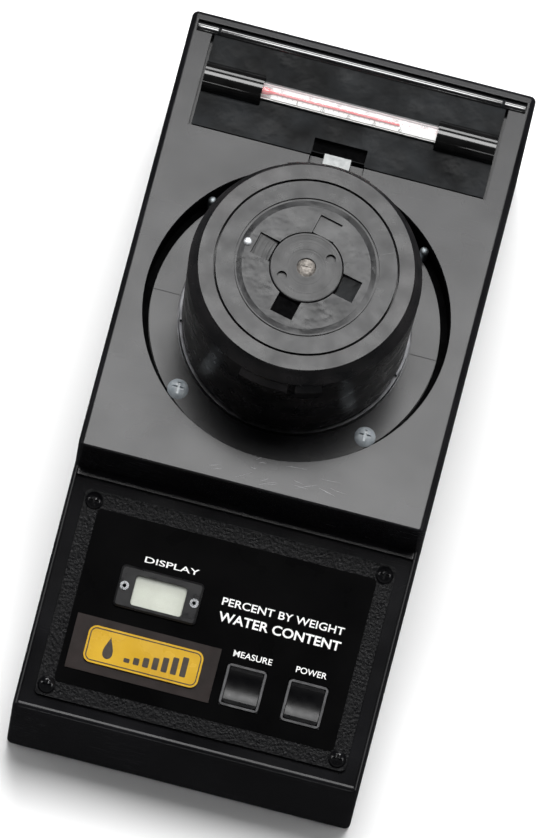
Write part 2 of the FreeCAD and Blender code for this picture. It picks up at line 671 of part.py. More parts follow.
def make_keys():
    frames = []
    for key_x in ("test_key_x", "battery_key_x"):
        body = plate("KeyFrame", "key_frame_width", "key_frame_height", "key_frame_rise",
                     key_x, "key_y", "0", "key_round")
        opening = rectangle(sketch(body), "key_frame_width - 2*key_frame_wall",
                            "key_frame_height - 2*key_frame_wall", key_x, "key_y")
        pocket(body, opening, "key_frame_rise", reverse=True)
        lip = key_ring("key_frame_width + 2*key_frame_lip", "key_frame_height + 2*key_frame_lip",
                       "key_frame_lip_height", key_x, "-key_frame_lip_height")
        frames.append(fuse(body, lip))
    node(on_slope(group(frames)), "key_frames")

    width = "(key_frame_width - 2*key_frame_wall - 2*key_gap)"
    height = "(key_frame_height - 2*key_frame_wall - 2*key_gap)"
    flange_top = "(-key_frame_lip_height - key_flange_gap)"
    for key_x, label in (("test_key_x", "test_keycap"), ("battery_key_x", "battery_keycap")):
        body = plate("KeyCap", width, height, f"key_rise - {flange_top}",
                     key_x, "key_y", flange_top, "key_round - 0.6")
        flange = block(f"{width} + 2*key_flange", f"{height} + 2*key_flange",
                       "key_flange_height", key_x, "key_y", f"{flange_top} - key_flange_height")
        stem = block("key_stem", "key_stem", "key_stem_bottom - 2", key_x, "key_y",
                     "-key_stem_bottom")
        dish = rod("key_dish_radius", "key_frame_width", f"{key_x} - key_frame_width/2",
                   "key_y", "key_rise + key_dish_radius - key_dish_depth", along_x=True)
        node(on_slope(cut(fuse(body, flange, stem), dish)), label)

    switches = []
    for key_x in ("test_key_x", "battery_key_x"):
        can = block("switch_size", "switch_size", "switch_height", key_x, "key_y", "-board_top")
        switches.append(can)
    node(on_slope(group(switches)), "key_switches")


def make_board():
    body = plate("Board", "board_width", "board_height", "board_thickness",
                 z="-board_top - board_thickness")
    pocket(body, corners(sketch(body, z="-board_top - board_thickness"), "board_hole",
                         "standoff_x", "standoff_y"), "board_thickness", reverse=True)
    node(on_slope(body), "circuit_board")

    post_height = "board_top - seat_thickness"
    post = cut(rod("standoff_radius", post_height, z="-board_top"),
               rod("standoff_bore", post_height, z="-board_top - 1"))
    node(on_slope(repeat(post, at_corners("standoff_x", "standoff_y"))), "board_standoffs")

    screw = pan_screw("board_screw_head", "board_screw_head_height", "board_screw_shank",
                      "board_screw_length")
    doc.recompute()
    turned = doc.addObject("Part::Mirroring", "Mirroring")
    turned.Source = screw
    turned.Normal = UP
    spots = at_corners("standoff_x", "standoff_y", "-board_top - board_thickness")
    node(on_slope(repeat(turned, spots)), "board_screws")


# Test cell; drawn about the cell's axis

def make_flange():
    body = new_body("CellFlange")
    ring = circle(sketch(body, z=RECESS_FLOOR), "flange_outer")
    pad(body, circle(ring, "flange_inner"), "flange_thickness")
    hole = circle(sketch(body, z=RECESS_FLOOR), "flange_hole",
                  "flange_screw_circle*cos(45deg)", "flange_screw_circle*sin(45deg)")
    polar(body, pocket(body, hole, "flange_thickness", reverse=True), 4)
    seam_y = "(flange_inner + flange_outer)/2"
    seams = sketch(body, z=FLANGE_TOP)
    for side in ("", "-"):
        rectangle(seams, "flange_outer - flange_inner + 1", "flange_seam", f"{side}{seam_y}", "0")
    pocket(body, seams, "flange_seam")
    node(on_cell(body), "cell_flange")

    screw = pan_screw("flange_screw_head", "flange_screw_head_height", "flange_screw_shank",
                      "flange_screw_length")
    reach = "flange_screw_circle*cos(45deg)"
    node(on_cell(repeat(screw, at_corners(reach, reach, FLANGE_TOP))), "flange_screws")


def make_cup():
    cup = revolve("CellCup", [
        ("cup_lip", "cup_bottom"), ("cup_outer", "cup_bottom"),
        ("cup_outer", f"{RECESS_FLOOR} - shoulder_thickness"),
        ("cell_shoulder", f"{RECESS_FLOOR} - shoulder_thickness"),
        ("cell_shoulder", RECESS_FLOOR), ("collar_radius", RECESS_FLOOR),
        ("collar_radius", "collar_top"), ("cup_outer", "collar_top"), ("cup_outer", "cup_top"),
        ("cup_inner", "cup_top"), ("cup_inner", "cup_bottom + cup_lip_thickness"),
        ("cup_lip", "cup_bottom + cup_lip_thickness")])
    lug_middle = "(cup_outer + collar_radius - 0.4)/2"
    for side in ("", "-"):
        lug = rectangle(sketch(cup, z="collar_top", turn=f"-({side}lug_angle)"),
                        "collar_radius - cup_outer", "lug_width", f"{side}{lug_middle}", "0")
        pad(cup, lug, "lug_height")
    node(on_cell(cup), "cell_cup")

    floor = "(cup_bottom + cup_lip_thickness)"
    insulator_top = f"({floor} + insulator_thickness)"
    insulator = revolve("Insulator", [
        ("stud_radius + stud_gap", floor), ("cup_inner - insulator_gap", floor),
        ("cup_inner - insulator_gap", insulator_top), ("stud_radius + stud_gap", insulator_top)])
    node(on_cell(insulator), "cell_insulator")

    electrode = revolve("Electrode", [
        ("0", "stud_bottom"), ("stud_radius", "stud_bottom"), ("stud_radius", insulator_top),
        ("electrode_radius", insulator_top), ("electrode_radius", "electrode_top - electrode_bevel"),
        ("electrode_radius - electrode_bevel", "electrode_top"), ("0", "electrode_top")])
    node(on_cell(electrode), "centre_electrode")

    prism = doc.addObject("Part::Prism", "Prism")
    prism.Polygon = 6
    bind(prism, "Circumradius", "nut_radius")
    bind(prism, "Height", "nut_height")
    place(prism, z=f"{floor} - nut_height - 0.1")
    nut = cut(prism, rod("stud_radius + 0.05", "nut_height + 2", z=f"{floor} - nut_height - 1"))
    node(on_cell(nut), "electrode_nut")


def make_cap():
    shoulder_z = "(cap_top - cap_shoulder_drop)"
    shell = revolve("CapShell", [
        ("crown_seat", "web_top"), ("crown_seat", "cap_top"), ("cap_edge - 0.4", "cap_top"),
        ("cap_edge", "cap_top - 0.4"), ("cap_shoulder", shoulder_z),
        ("skirt_bottom_radius", "skirt_bottom"), ("skirt_inner", "skirt_bottom"),
        ("skirt_inner", "web_bottom"), ("web_hole", "web_bottom"), ("web_hole", "web_top")])
    grips = []
    for letter in "ab":
        sector = {"angle": f"grip_{letter}_angle", "turn": f"grip_{letter}_start",
                  "z": f"{shoulder_z} - grip_height"}
        grips.append(rod("grip_radius", "grip_height", **sector))
        opposite = dict(sector, turn=f"grip_{letter}_start + {TURN / 2}")
        grips.append(rod("grip_radius", "grip_height", **opposite))
    core = rod("cap_shoulder - 1", "grip_height + 2", z=f"{shoulder_z} - grip_height - 1")
    tops = revolve("GripTops", [
        ("0", f"{shoulder_z} - grip_height"), ("grip_radius", f"{shoulder_z} - grip_height"),
        ("grip_radius", f"{shoulder_z} - grip_top"), ("cap_shoulder - 0.5", shoulder_z),
        ("0", shoulder_z)])
    node(on_cell(fuse(shell, cut(common(fuse(*grips), tops), core))), "cap_shell")

    crown = revolve("CapCrown", [
        ("crown_hole", "cap_top - crown_thickness"), ("crown_hole", "cap_top - crown_dip"),
        ("crown_groove", "cap_top - 0.1"), ("crown_groove", "cap_top - crown_groove_depth"),
        ("crown_groove + crown_groove_width", "cap_top - crown_groove_depth"),
        ("crown_groove + crown_groove_width", "cap_top"), ("crown_radius", "cap_top"),
        ("crown_radius", "web_top"), ("crown_radius - crown_wall", "web_top"),
        ("crown_radius - crown_wall", "cap_top - crown_thickness")])
    reach = "(window_outer - crown_hole + 2)"
    window = rectangle(sketch(crown, z="cap_top", turn="-window_turn"), "window_width", reach,
                       "0", f"window_outer - {reach}/2")
    polar(crown, pocket(crown, window, "crown_thickness"), 4)
    pin_x = "pin_circle*sin(pin_turn*1deg)"
    pin_y = "pin_circle*cos(pin_turn*1deg)"
    pocket(crown, circle(sketch(crown, z="cap_top"), "pin_shank + pin_gap", pin_x, pin_y),
           "crown_thickness")
    node(on_cell(crown), "cap_crown")

    cone = revolve("Cone", [
        ("cone_hole", "web_top"), ("cone_hole", "cone_top"), ("cone_foot", "cone_foot_top"),
        ("cone_outer", "cone_foot_top"), ("cone_outer", "web_top")])
    node(on_cell(cone), "window_cone")

    dome = common(ball("pin_head", pin_x, pin_y, "cap_top - pin_sink"),
                  rod("pin_head", "pin_head", pin_x, pin_y, "cap_top"))
    shank = rod("pin_shank", "crown_thickness", pin_x, pin_y, "cap_top - crown_thickness")
    node(on_cell(fuse(dome, shank)), "index_pin")


def make_indicator():
    hub = revolve("Hub", [
        ("0", "stem_bottom"), ("stem_radius", "stem_bottom"), ("stem_radius", "hub_bottom"),
        ("hub_radius", "hub_bottom"), ("hub_radius", "hub_top - hub_bevel"),
        ("hub_radius - hub_bevel", "hub_top"), ("0", "hub_top")])
    spanner = sketch(hub, z="hub_top")
    for side in ("", "-"):
        circle(spanner, "spanner_radius", f"{side}spanner_circle*sin(spanner_turn*1deg)",
               f"{side}spanner_circle*cos(spanner_turn*1deg)")
    pocket(hub, spanner, "spanner_depth")
    pocket(hub, circle(sketch(hub, z="hub_top"), "hub_screw_head + hub_hole_gap"),
           "hub_screw_sink")
    pocket(hub, circle(sketch(hub, z="hub_top"), "hub_screw_shank + hub_hole_gap"),
           "hub_screw_sink + hub_screw_length + 0.5")
    node(on_cell(hub), "indicator_hub")

    screw = pan_screw("hub_screw_head", "hub_screw_height", "hub_screw_shank",
                      "hub_screw_length", recess="slot")
    node(on_cell(repeat(screw, [("0", "0", "hub_top - hub_screw_sink")])), "hub_screw")

    pressure = revolve("PressurePlate", [
        ("0", "stem_bottom - pressure_thickness"),
        ("pressure_radius - pressure_bevel", "stem_bottom - pressure_thickness"),
        ("pressure_radius", "stem_bottom - pressure_thickness + pressure_bevel"),
        ("pressure_radius", "stem_bottom"), ("0", "stem_bottom")])
    node(on_cell(pressure), "pressure_plate")

    washer = revolve("Washer", [
        ("washer_inner", "washer_bottom"), ("washer_outer", "washer_bottom"),
        ("washer_outer", "washer_top"), ("washer_inner", "washer_top")])
    node(on_cell(washer), "slip_washer")

    # the coil is a circle swept along a helix, with its ends clear of plate and washer
    low, high = value("stem_bottom + spring_wire + spring_gap"), value(
        "washer_bottom - spring_wire - spring_gap")
    radius, wire = value("spring_radius"), value("spring_wire")
    helix = Part.makeHelix((high - low) / value("spring_turns"), high - low, radius)
    ring = Part.Wire(Part.makeCircle(wire, FreeCAD.Vector(radius, 0, 0), FreeCAD.Vector(0, 1, 0)))
    coil = doc.addObject("Part::Feature", "Spring")
    coil.Shape = Part.Wire(helix).makePipeShell([ring], True, True)
    coil.Placement = FreeCAD.Placement(FreeCAD.Vector(0, value("cell_y"), low),
                                       FreeCAD.Rotation())
    node(coil, "cap_spring")


# Battery bay, lid and thermometer

def make_lid():
    body = new_body("Lid")
    heel = "hinge_y - barrel_radius"
    profile = outline(sketch(body, "YZ_Plane"), [
        ("lid_front", "lid_bottom"), (f"{heel} - 1", "lid_bottom"), (f"{heel} + 0.4", "hinge_z - 2"),
        ("hinge_y", "hinge_z - 2"), ("hinge_y", "lid_top"), ("lid_front", "lid_top")])
    pad(body, profile, "lid_width", symmetric=True)
    pad(body, circle(sketch(body, "YZ_Plane"), "barrel_radius", "hinge_y", "hinge_z"),
        "lid_width", symmetric=True)
    pocket(body, circle(sketch(body, "YZ_Plane"), "pin_bore", "hinge_y", "hinge_z"),
           "lid_width", symmetric=True)

    # troughs for the tube and its two sleeves
    pocket(body, circle(sketch(body, "YZ_Plane"), "glass_trough", "tube_y", "tube_z"),
           "2*sleeve_start", symmetric=True)
    sleeve_trough = "sleeve_radius + trough_gap"
    for start in ("sleeve_start - 0.2", "-sleeve_end - 1"):
        trough = circle(sketch(body, "YZ_Plane", z=start), sleeve_trough, "tube_y", "tube_z")
        pocket(body, trough, "sleeve_end - sleeve_start + 1.2", reverse=True)

    # hollows in the underside, between ribs
    hollows = sketch(body, z="lid_bottom")
    front_low, front_high = "(notch_back + lid_rib)", "(tube_y - sleeve_radius - lid_rib + 1)"
    back_low, back_high = "(tube_y + sleeve_radius + lid_rib - 1)", f"({heel} - 1 - lid_rib)"
    for low, high in ((front_low, front_high), (back_low, back_high)):
        rectangle(hollows, "bay_width - 4*lid_rib", f"{high} - {low}", "0",
                  f"({high} + {low})/2")
    pocket(body, hollows, "lid_pocket_depth", reverse=True)

    # notch for a finger, over a ledge that the catch's nose sits on
    notch = rectangle(sketch(body, z="lid_top"), "notch_width",
                      "notch_back - lid_front + 1", "0", "(notch_back + lid_front - 1)/2")
    pocket(body, notch, "lid_top - notch_ledge")
    throat = rectangle(sketch(body, z="lid_top"), "notch_width",
                       "notch_ledge_front - lid_front + 1", "0",
                       "(notch_ledge_front + lid_front - 1)/2")
    pocket(body, throat, "lid_top - lid_bottom")
    inner, outer = "notch_width/2", "(notch_width/2 + notch_border)"
    border = outline(sketch(body, z="lid_top"), [
        (f"-{outer}", "lid_front"), (f"-{inner}", "lid_front"), (f"-{inner}", "notch_back"),
        (inner, "notch_back"), (inner, "lid_front"), (outer, "lid_front"),
        (outer, "notch_back + notch_border"), (f"-{outer}", "notch_back + notch_border")])
    pad(body, border, "notch_border_height")
    node(body, "compartment_lid")


def make_catch():
    leg = block("tongue_width", "tongue_back - tongue_front", "tongue_top - tongue_bottom", "0",
                "(tongue_back + tongue_front)/2", "tongue_bottom")
    nose = block("tongue_width", "tongue_nose - tongue_front",
                 "tongue_top - tongue_nose_bottom", "0", "(tongue_nose + tongue_front)/2",
                 "tongue_nose_bottom")
    node(fuse(leg, nose), "catch_tongue")


def make_hinge_pin():
    reach = "knuckle_start + knuckle_length"
    node(rod("pin_radius", f"2*({reach})", f"-({reach})", "hinge_y", "hinge_z", along_x=True),
         "hinge_pin")


def make_thermometer():
    def along(radius, start, end, rise="0"):
        return rod(radius, f"({end}) - ({start})", start, "tube_y", f"tube_z + {rise}",
                   along_x=True)

    half = "tube_length/2"
    node(cut(along("tube_radius", f"-{half}", half), along("tube_bore", f"-{half} - 1",
                                                           f"{half} + 1")), "thermometer_tube")
    left = cut(along("sleeve_radius", "-sleeve_end", "-sleeve_start"),
               along("sleeve_bore", "-sleeve_end + sleeve_cap", "-sleeve_start + 1"))
    right = cut(along("sleeve_radius", "sleeve_start", "sleeve_end"),
                along("sleeve_bore", "sleeve_start - 1", "sleeve_end - sleeve_cap"))
    node(group([left, right]), "thermometer_sleeves")
    node(block("strip_start + strip_end", "strip_width", "strip_thickness",
               "(strip_end - strip_start)/2", "tube_y", "tube_z - strip_drop"),
         "thermometer_scale")
    bulb = along("bulb_radius", "-bulb_start", "-bulb_end", "column_rise")
    column = along("column_radius", "-bulb_end", "column_end", "column_rise")
    node(fuse(bulb, column), "spirit_column")


def make_battery():
    middle = "(bay_front + bay_back)/2"
    end = "(battery_x + battery_length/2)"
    cell = block("battery_length", "battery_width", "battery_height", "battery_x", middle,
                 "bay_floor")
    height = "bay_floor + battery_height/2"
    studs = [rod("terminal_radius", "terminal_height + 1", f"{end} - 1",
                 f"{middle} {side} terminal_spacing/2", height, along_x=True)
             for side in ("-", "+")]
    node(fuse(cell, *studs), "battery_block")

    snap = block("snap_thickness", "snap_width", "snap_height",
                 f"{end} + snap_gap + snap_thickness/2", middle,
                 "bay_floor + (battery_height - snap_height)/2")
    sockets = [rod("terminal_radius + snap_gap", "terminal_height + 1", f"{end} - 1 + snap_gap",
                   f"{middle} {side} terminal_spacing/2", height, along_x=True)
               for side in ("-", "+")]
    node(cut(snap, *sockets), "battery_snap")


make_upper_case()
make_base_plate()
make_feet()
make_base_screws()
make_control_plate()
make_label()
make_badge()
make_plate_screws()
make_display()
make_keys()
make_board()
make_flange()
make_cup()
make_cap()
make_indicator()
make_lid()
make_catch()
make_hinge_pin()
make_thermometer()
make_battery()
doc.recompute()

for thing in doc.Objects:
    if "Invalid" in thing.State or "Error" in thing.State:
        raise RuntimeError(f"{thing.Name} ({thing.Label}) failed: {thing.State}")
for thing in parts:
    if thing.Shape.isNull() or not thing.Shape.isValid() or not thing.Shape.Solids:
        raise RuntimeError(f"{thing.Label} has no valid shape")

os.makedirs("parts", exist_ok=True)
for thing in parts:
    thing.Shape.exportStep(f"parts/{thing.Label}.step")
print(len(parts), "sub-parts written")
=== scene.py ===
"""The looks of the grain moisture meter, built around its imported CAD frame."""
import math
import random

import bmesh
import bpy
from mathutils import Matrix, Vector


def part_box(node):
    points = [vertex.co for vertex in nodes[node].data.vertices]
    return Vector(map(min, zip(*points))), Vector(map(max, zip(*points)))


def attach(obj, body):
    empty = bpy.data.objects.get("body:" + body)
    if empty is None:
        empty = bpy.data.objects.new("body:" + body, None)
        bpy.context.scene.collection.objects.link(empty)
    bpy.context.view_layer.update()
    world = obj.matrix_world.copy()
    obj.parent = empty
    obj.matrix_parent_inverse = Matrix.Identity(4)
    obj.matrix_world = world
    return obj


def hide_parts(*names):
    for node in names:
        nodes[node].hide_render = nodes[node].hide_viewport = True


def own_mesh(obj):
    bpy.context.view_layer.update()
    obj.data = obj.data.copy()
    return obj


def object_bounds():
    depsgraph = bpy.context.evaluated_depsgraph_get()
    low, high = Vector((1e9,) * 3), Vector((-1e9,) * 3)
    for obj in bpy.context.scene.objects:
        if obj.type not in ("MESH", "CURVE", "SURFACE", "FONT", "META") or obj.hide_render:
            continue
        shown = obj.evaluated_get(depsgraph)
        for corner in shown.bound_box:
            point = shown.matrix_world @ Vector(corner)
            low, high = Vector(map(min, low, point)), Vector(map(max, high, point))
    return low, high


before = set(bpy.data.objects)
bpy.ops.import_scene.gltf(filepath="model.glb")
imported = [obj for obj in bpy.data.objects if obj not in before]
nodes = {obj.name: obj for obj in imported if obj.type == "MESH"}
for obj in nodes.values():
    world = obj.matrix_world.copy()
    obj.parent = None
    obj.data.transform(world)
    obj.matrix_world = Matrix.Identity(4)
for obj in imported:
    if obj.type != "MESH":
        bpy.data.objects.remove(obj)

MM = 0.001
SLOPE = math.radians(14)      # of the control plate
PANEL_TOP = 92                # the flat top of the case, in millimetres above the feet
scene = bpy.context.scene
cad_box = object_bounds()
low, high = cad_box
middle = (low + high) / 2


def centre_of(node):
    return sum(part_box(node), Vector()) / 2


# Camera and lights

FIELD_HEIGHT = 0.305          # metres in view, from top to bottom, at the case's top
CAMERA_DISTANCE = 6.0
ELEVATION, AZIMUTH, ROLL = (math.radians(angle) for angle in (71.3, 3.0, 11.57))
TARGET = Vector((0.97 * MM, middle.y - 15.25 * MM, PANEL_TOP * MM))


def add_camera():
    back = Vector((math.sin(AZIMUTH) * math.cos(ELEVATION),
                   -math.cos(AZIMUTH) * math.cos(ELEVATION), math.sin(ELEVATION)))
    level = Vector((math.cos(AZIMUTH), math.sin(AZIMUTH), 0))
    upright = back.cross(level)
    right = level * math.cos(ROLL) + upright * math.sin(ROLL)
    up = upright * math.cos(ROLL) - level * math.sin(ROLL)
    data = bpy.data.cameras.new("camera")
    data.sensor_width = 36
    data.lens = data.sensor_width * CAMERA_DISTANCE / FIELD_HEIGHT
    data.clip_start, data.clip_end = 0.1, 50
    camera = bpy.data.objects.new("camera", data)
    scene.collection.objects.link(camera)
    turn = Matrix((right, up, back)).transposed().to_4x4()
    camera.matrix_world = Matrix.Translation(TARGET + back * CAMERA_DISTANCE) @ turn
    scene.camera = camera


def add_light(name, bearing, tilt, distance, width, depth, power):
    """A softbox tilted from the zenith towards a bearing (0 is +Y, 90 is +X), facing the object."""
    data = bpy.data.lights.new(name, "AREA")
    data.shape = "RECTANGLE"
    data.size, data.size_y, data.energy = width, depth, power
    lamp = bpy.data.objects.new(name, data)
    scene.collection.objects.link(lamp)
    bearing, tilt = math.radians(bearing), math.radians(tilt)
    outward = Vector((math.sin(bearing) * math.sin(tilt), math.cos(bearing) * math.sin(tilt),
                      math.cos(tilt)))
    side = Vector((math.cos(bearing), -math.sin(bearing), 0))
    turn = Matrix((side, outward.cross(side), outward)).transposed().to_4x4()
    lamp.matrix_world = Matrix.Translation(TARGET + outward * distance) @ turn
    lamp.visible_camera = False


SOFTBOXES = (  # name, bearing, tilt, distance, width, depth, power
    ("overhead_softbox", 0, 14, 1.3, 0.75, 0.54, 21.5),
    ("rear_softbox", 0, 51, 1.4, 1.1, 0.42, 17),
    ("left_softbox", -90, 62, 1.8, 0.8, 0.6, 7),
    ("right_softbox", 90, 62, 1.8, 0.8, 0.6, 7),
    ("front_strip", 180, 62, 1.9, 0.9, 0.12, 2.5),
)
WORLD_END = 0.03              # the tone straight below and straight above
WORLD_TONES = ((0.06, 0.03), (0.24, 0.16), (0.48, 0.16), (0.53, 0.03))   # from below to above


def add_studio():
    """The softboxes, and a dark world with a faint band under the horizon."""
    for softbox in SOFTBOXES:
        add_light(*softbox)
    world = bpy.data.worlds.new("studio")
    world.use_nodes = True
    tree = world.node_tree
    outward = tree.nodes.new("ShaderNodeTexCoord").outputs["Generated"]
    height = wire(tree, "ShaderNodeSeparateXYZ", {"Vector": outward}).outputs["Z"]
    ramp = wire(tree, "ShaderNodeValToRGB", {
        "Fac": wire(tree, "ShaderNodeMapRange", {"Value": height, "From Min": -1}).outputs[0]})
    stops = ramp.color_ramp.elements
    for place, tone in WORLD_TONES:
        stop = stops.new(place)
        stop.color = (tone, tone, tone * 1.05, 1)
    for stop in (stops[0], stops[-1]):
        stop.color = (WORLD_END, WORLD_END, 0.032, 1)
    tree.links.new(ramp.outputs["Color"], tree.nodes["Background"].inputs["Color"])
    scene.world = world
    scene.view_settings.view_transform = "Standard"


# Materials

def wire(tree, kind, inputs=(), **settings):
    """A shader node with its settings, and its inputs set to values or linked to sockets."""
    made = tree.nodes.new(kind)
    for word, setting in settings.items():
        setattr(made, word, setting)
    for key, given in dict(inputs).items():
        if isinstance(given, bpy.types.NodeSocket):
            tree.links.new(given, made.inputs[key])
        else:
            made.inputs[key].default_value = given
    return made


def place_of(tree, stretch=(1, 1, 1), turn=(0, 0, 0)):
    where = wire(tree, "ShaderNodeTexCoord")
    return wire(tree, "ShaderNodeMapping", {
        "Vector": where.outputs["Object"], "Scale": stretch, "Rotation": turn}).outputs[0]


def noise(tree, size, detail=2, spread=0.5, stretch=(1, 1, 1), turn=(0, 0, 0), twist=0):
    """Noise whose blobs are about this size in metres."""
    return wire(tree, "ShaderNodeTexNoise", {
        "Vector": place_of(tree, stretch, turn), "Scale": 1 / size, "Detail": detail,
        "Roughness": spread, "Distortion": twist}).outputs["Fac"]


def remap(tree, given, from_low, from_high, to_low, to_high):
    return wire(tree, "ShaderNodeMapRange", {
        "Value": given, "From Min": from_low, "From Max": from_high,
        "To Min": to_low, "To Max": to_high}).outputs["Result"]


def maths(tree, operation, first, second):
    return wire(tree, "ShaderNodeMath", {0: first, 1: second}, operation=operation).outputs[0]


def blend_colours(tree, amount, first, second):
    """Sockets 6 and 7 of a colour Mix are its two colours."""
    made = wire(tree, "ShaderNodeMix", {0: amount}, data_type="RGBA")
    for index, given in ((6, first), (7, second)):
        if isinstance(given, bpy.types.NodeSocket):
            tree.links.new(given, made.inputs[index])
        else:
            made.inputs[index].default_value = (*given, 1)
    return made.outputs[2]


class Finish:
    """A material under construction, whose colour, roughness and bump can be added to."""

    def __init__(self, name, **sockets):
        self.material = bpy.data.materials.new(name)
        self.material.use_nodes = True
        self.tree = self.material.node_tree
        self.shader = self.tree.nodes["Principled BSDF"]
        for word, setting in sockets.items():
            self.shader.inputs[word.replace("_", " ")].default_value = setting

    def colour(self, dark, light, size, detail=3, low=0.35, high=0.65, **kind):
        amount = remap(self.tree, noise(self.tree, size, detail, **kind), low, high, 0, 1)
        self.paint = blend_colours(self.tree, amount, dark, light)
        self.tree.links.new(self.paint, self.shader.inputs["Base Color"])
        return self

    def cover(self, amount, colour):
        """Lay a second colour over the first where amount is high."""
        self.paint = blend_colours(self.tree, amount, self.paint, colour)
        self.tree.links.new(self.paint, self.shader.inputs["Base Color"])
        return self

    def roughness(self, least, most, size, detail=3, low=0.3, high=0.7, **kind):
        uneven = noise(self.tree, size, detail, **kind)
        self.dull = remap(self.tree, uneven, low, high, least, most)
        self.tree.links.new(self.dull, self.shader.inputs["Roughness"])
        return self

    def dull_where(self, amount, extra):
        self.dull = maths(self.tree, "ADD", self.dull, maths(self.tree, "MULTIPLY", amount, extra))
        self.tree.links.new(self.dull, self.shader.inputs["Roughness"])
        return self

    def bump(self, height, depth, strength=1.0):
        """Height runs from 0 to 1 and is depth metres deep."""
        made = wire(self.tree, "ShaderNodeBump",
                    {"Height": height, "Distance": depth, "Strength": strength})
        last = self.shader.inputs["Normal"]
        if last.is_linked:
            self.tree.links.new(last.links[0].from_socket, made.inputs["Normal"])
        self.tree.links.new(made.outputs[0], last)
        return self

    def grain(self, size, depth, detail=2, **kind):
        return self.bump(noise(self.tree, size, detail, **kind), depth)

    def scratches(self, amount, along="x"):
        """Fine broken lines along one axis."""
        stretch = (1, 40, 40) if along == "x" else (40, 1, 40)
        lines = noise(self.tree, 0.012, 4, 0.7, stretch)
        patches = noise(self.tree, 0.03, 1)
        mask = maths(self.tree, "MULTIPLY", remap(self.tree, lines, 0.62, 0.70, 0, 1),
                     remap(self.tree, patches, 0.5, 0.62, 0, 1))
        return self.dull_where(mask, amount)


def plastic(name, dark, light, rough, grain, cloud=0.02, **sockets):
    """Moulded plastic: two tones in soft clouds, a range of roughness, and grain (size, depth)."""
    made = Finish(name, **sockets)
    made.colour(dark, light, cloud)
    made.roughness(rough[0], rough[1], cloud * 0.8)
    return made.grain(grain[0], grain[1])


def metal(name, dark, light, rough, size, brushed=(1, 1, 1)):
    """Metal with uneven tone and gloss, drawn out along an axis where it is brushed."""
    made = Finish(name, Metallic=1)
    made.colour(dark, light, size, stretch=brushed)
    made.roughness(rough[0], rough[1], size * 0.5, stretch=brushed)
    return made.grain(size * 0.12, 0.000004, stretch=brushed)


def from_axis(tree, centre):
    """Distance from an upright axis through a point, in metres."""
    shift = wire(tree, "ShaderNodeVectorMath", {0: place_of(tree), 1: (centre.x, centre.y, 0)},
                 operation="SUBTRACT").outputs[0]
    flat = wire(tree, "ShaderNodeVectorMath", {0: shift, 1: (1, 1, 0)},
                operation="MULTIPLY").outputs[0]
    return wire(tree, "ShaderNodeVectorMath", {0: flat}, operation="LENGTH").outputs["Value"]


def turned_rings(tree, centre, size):
    """Noise that changes only with the distance from an axis, as a turned or moulded face has."""
    return wire(tree, "ShaderNodeTexNoise", {
        "W": from_axis(tree, centre), "Scale": 1 / size, "Detail": 3},
        noise_dimensions="1D").outputs["Fac"]


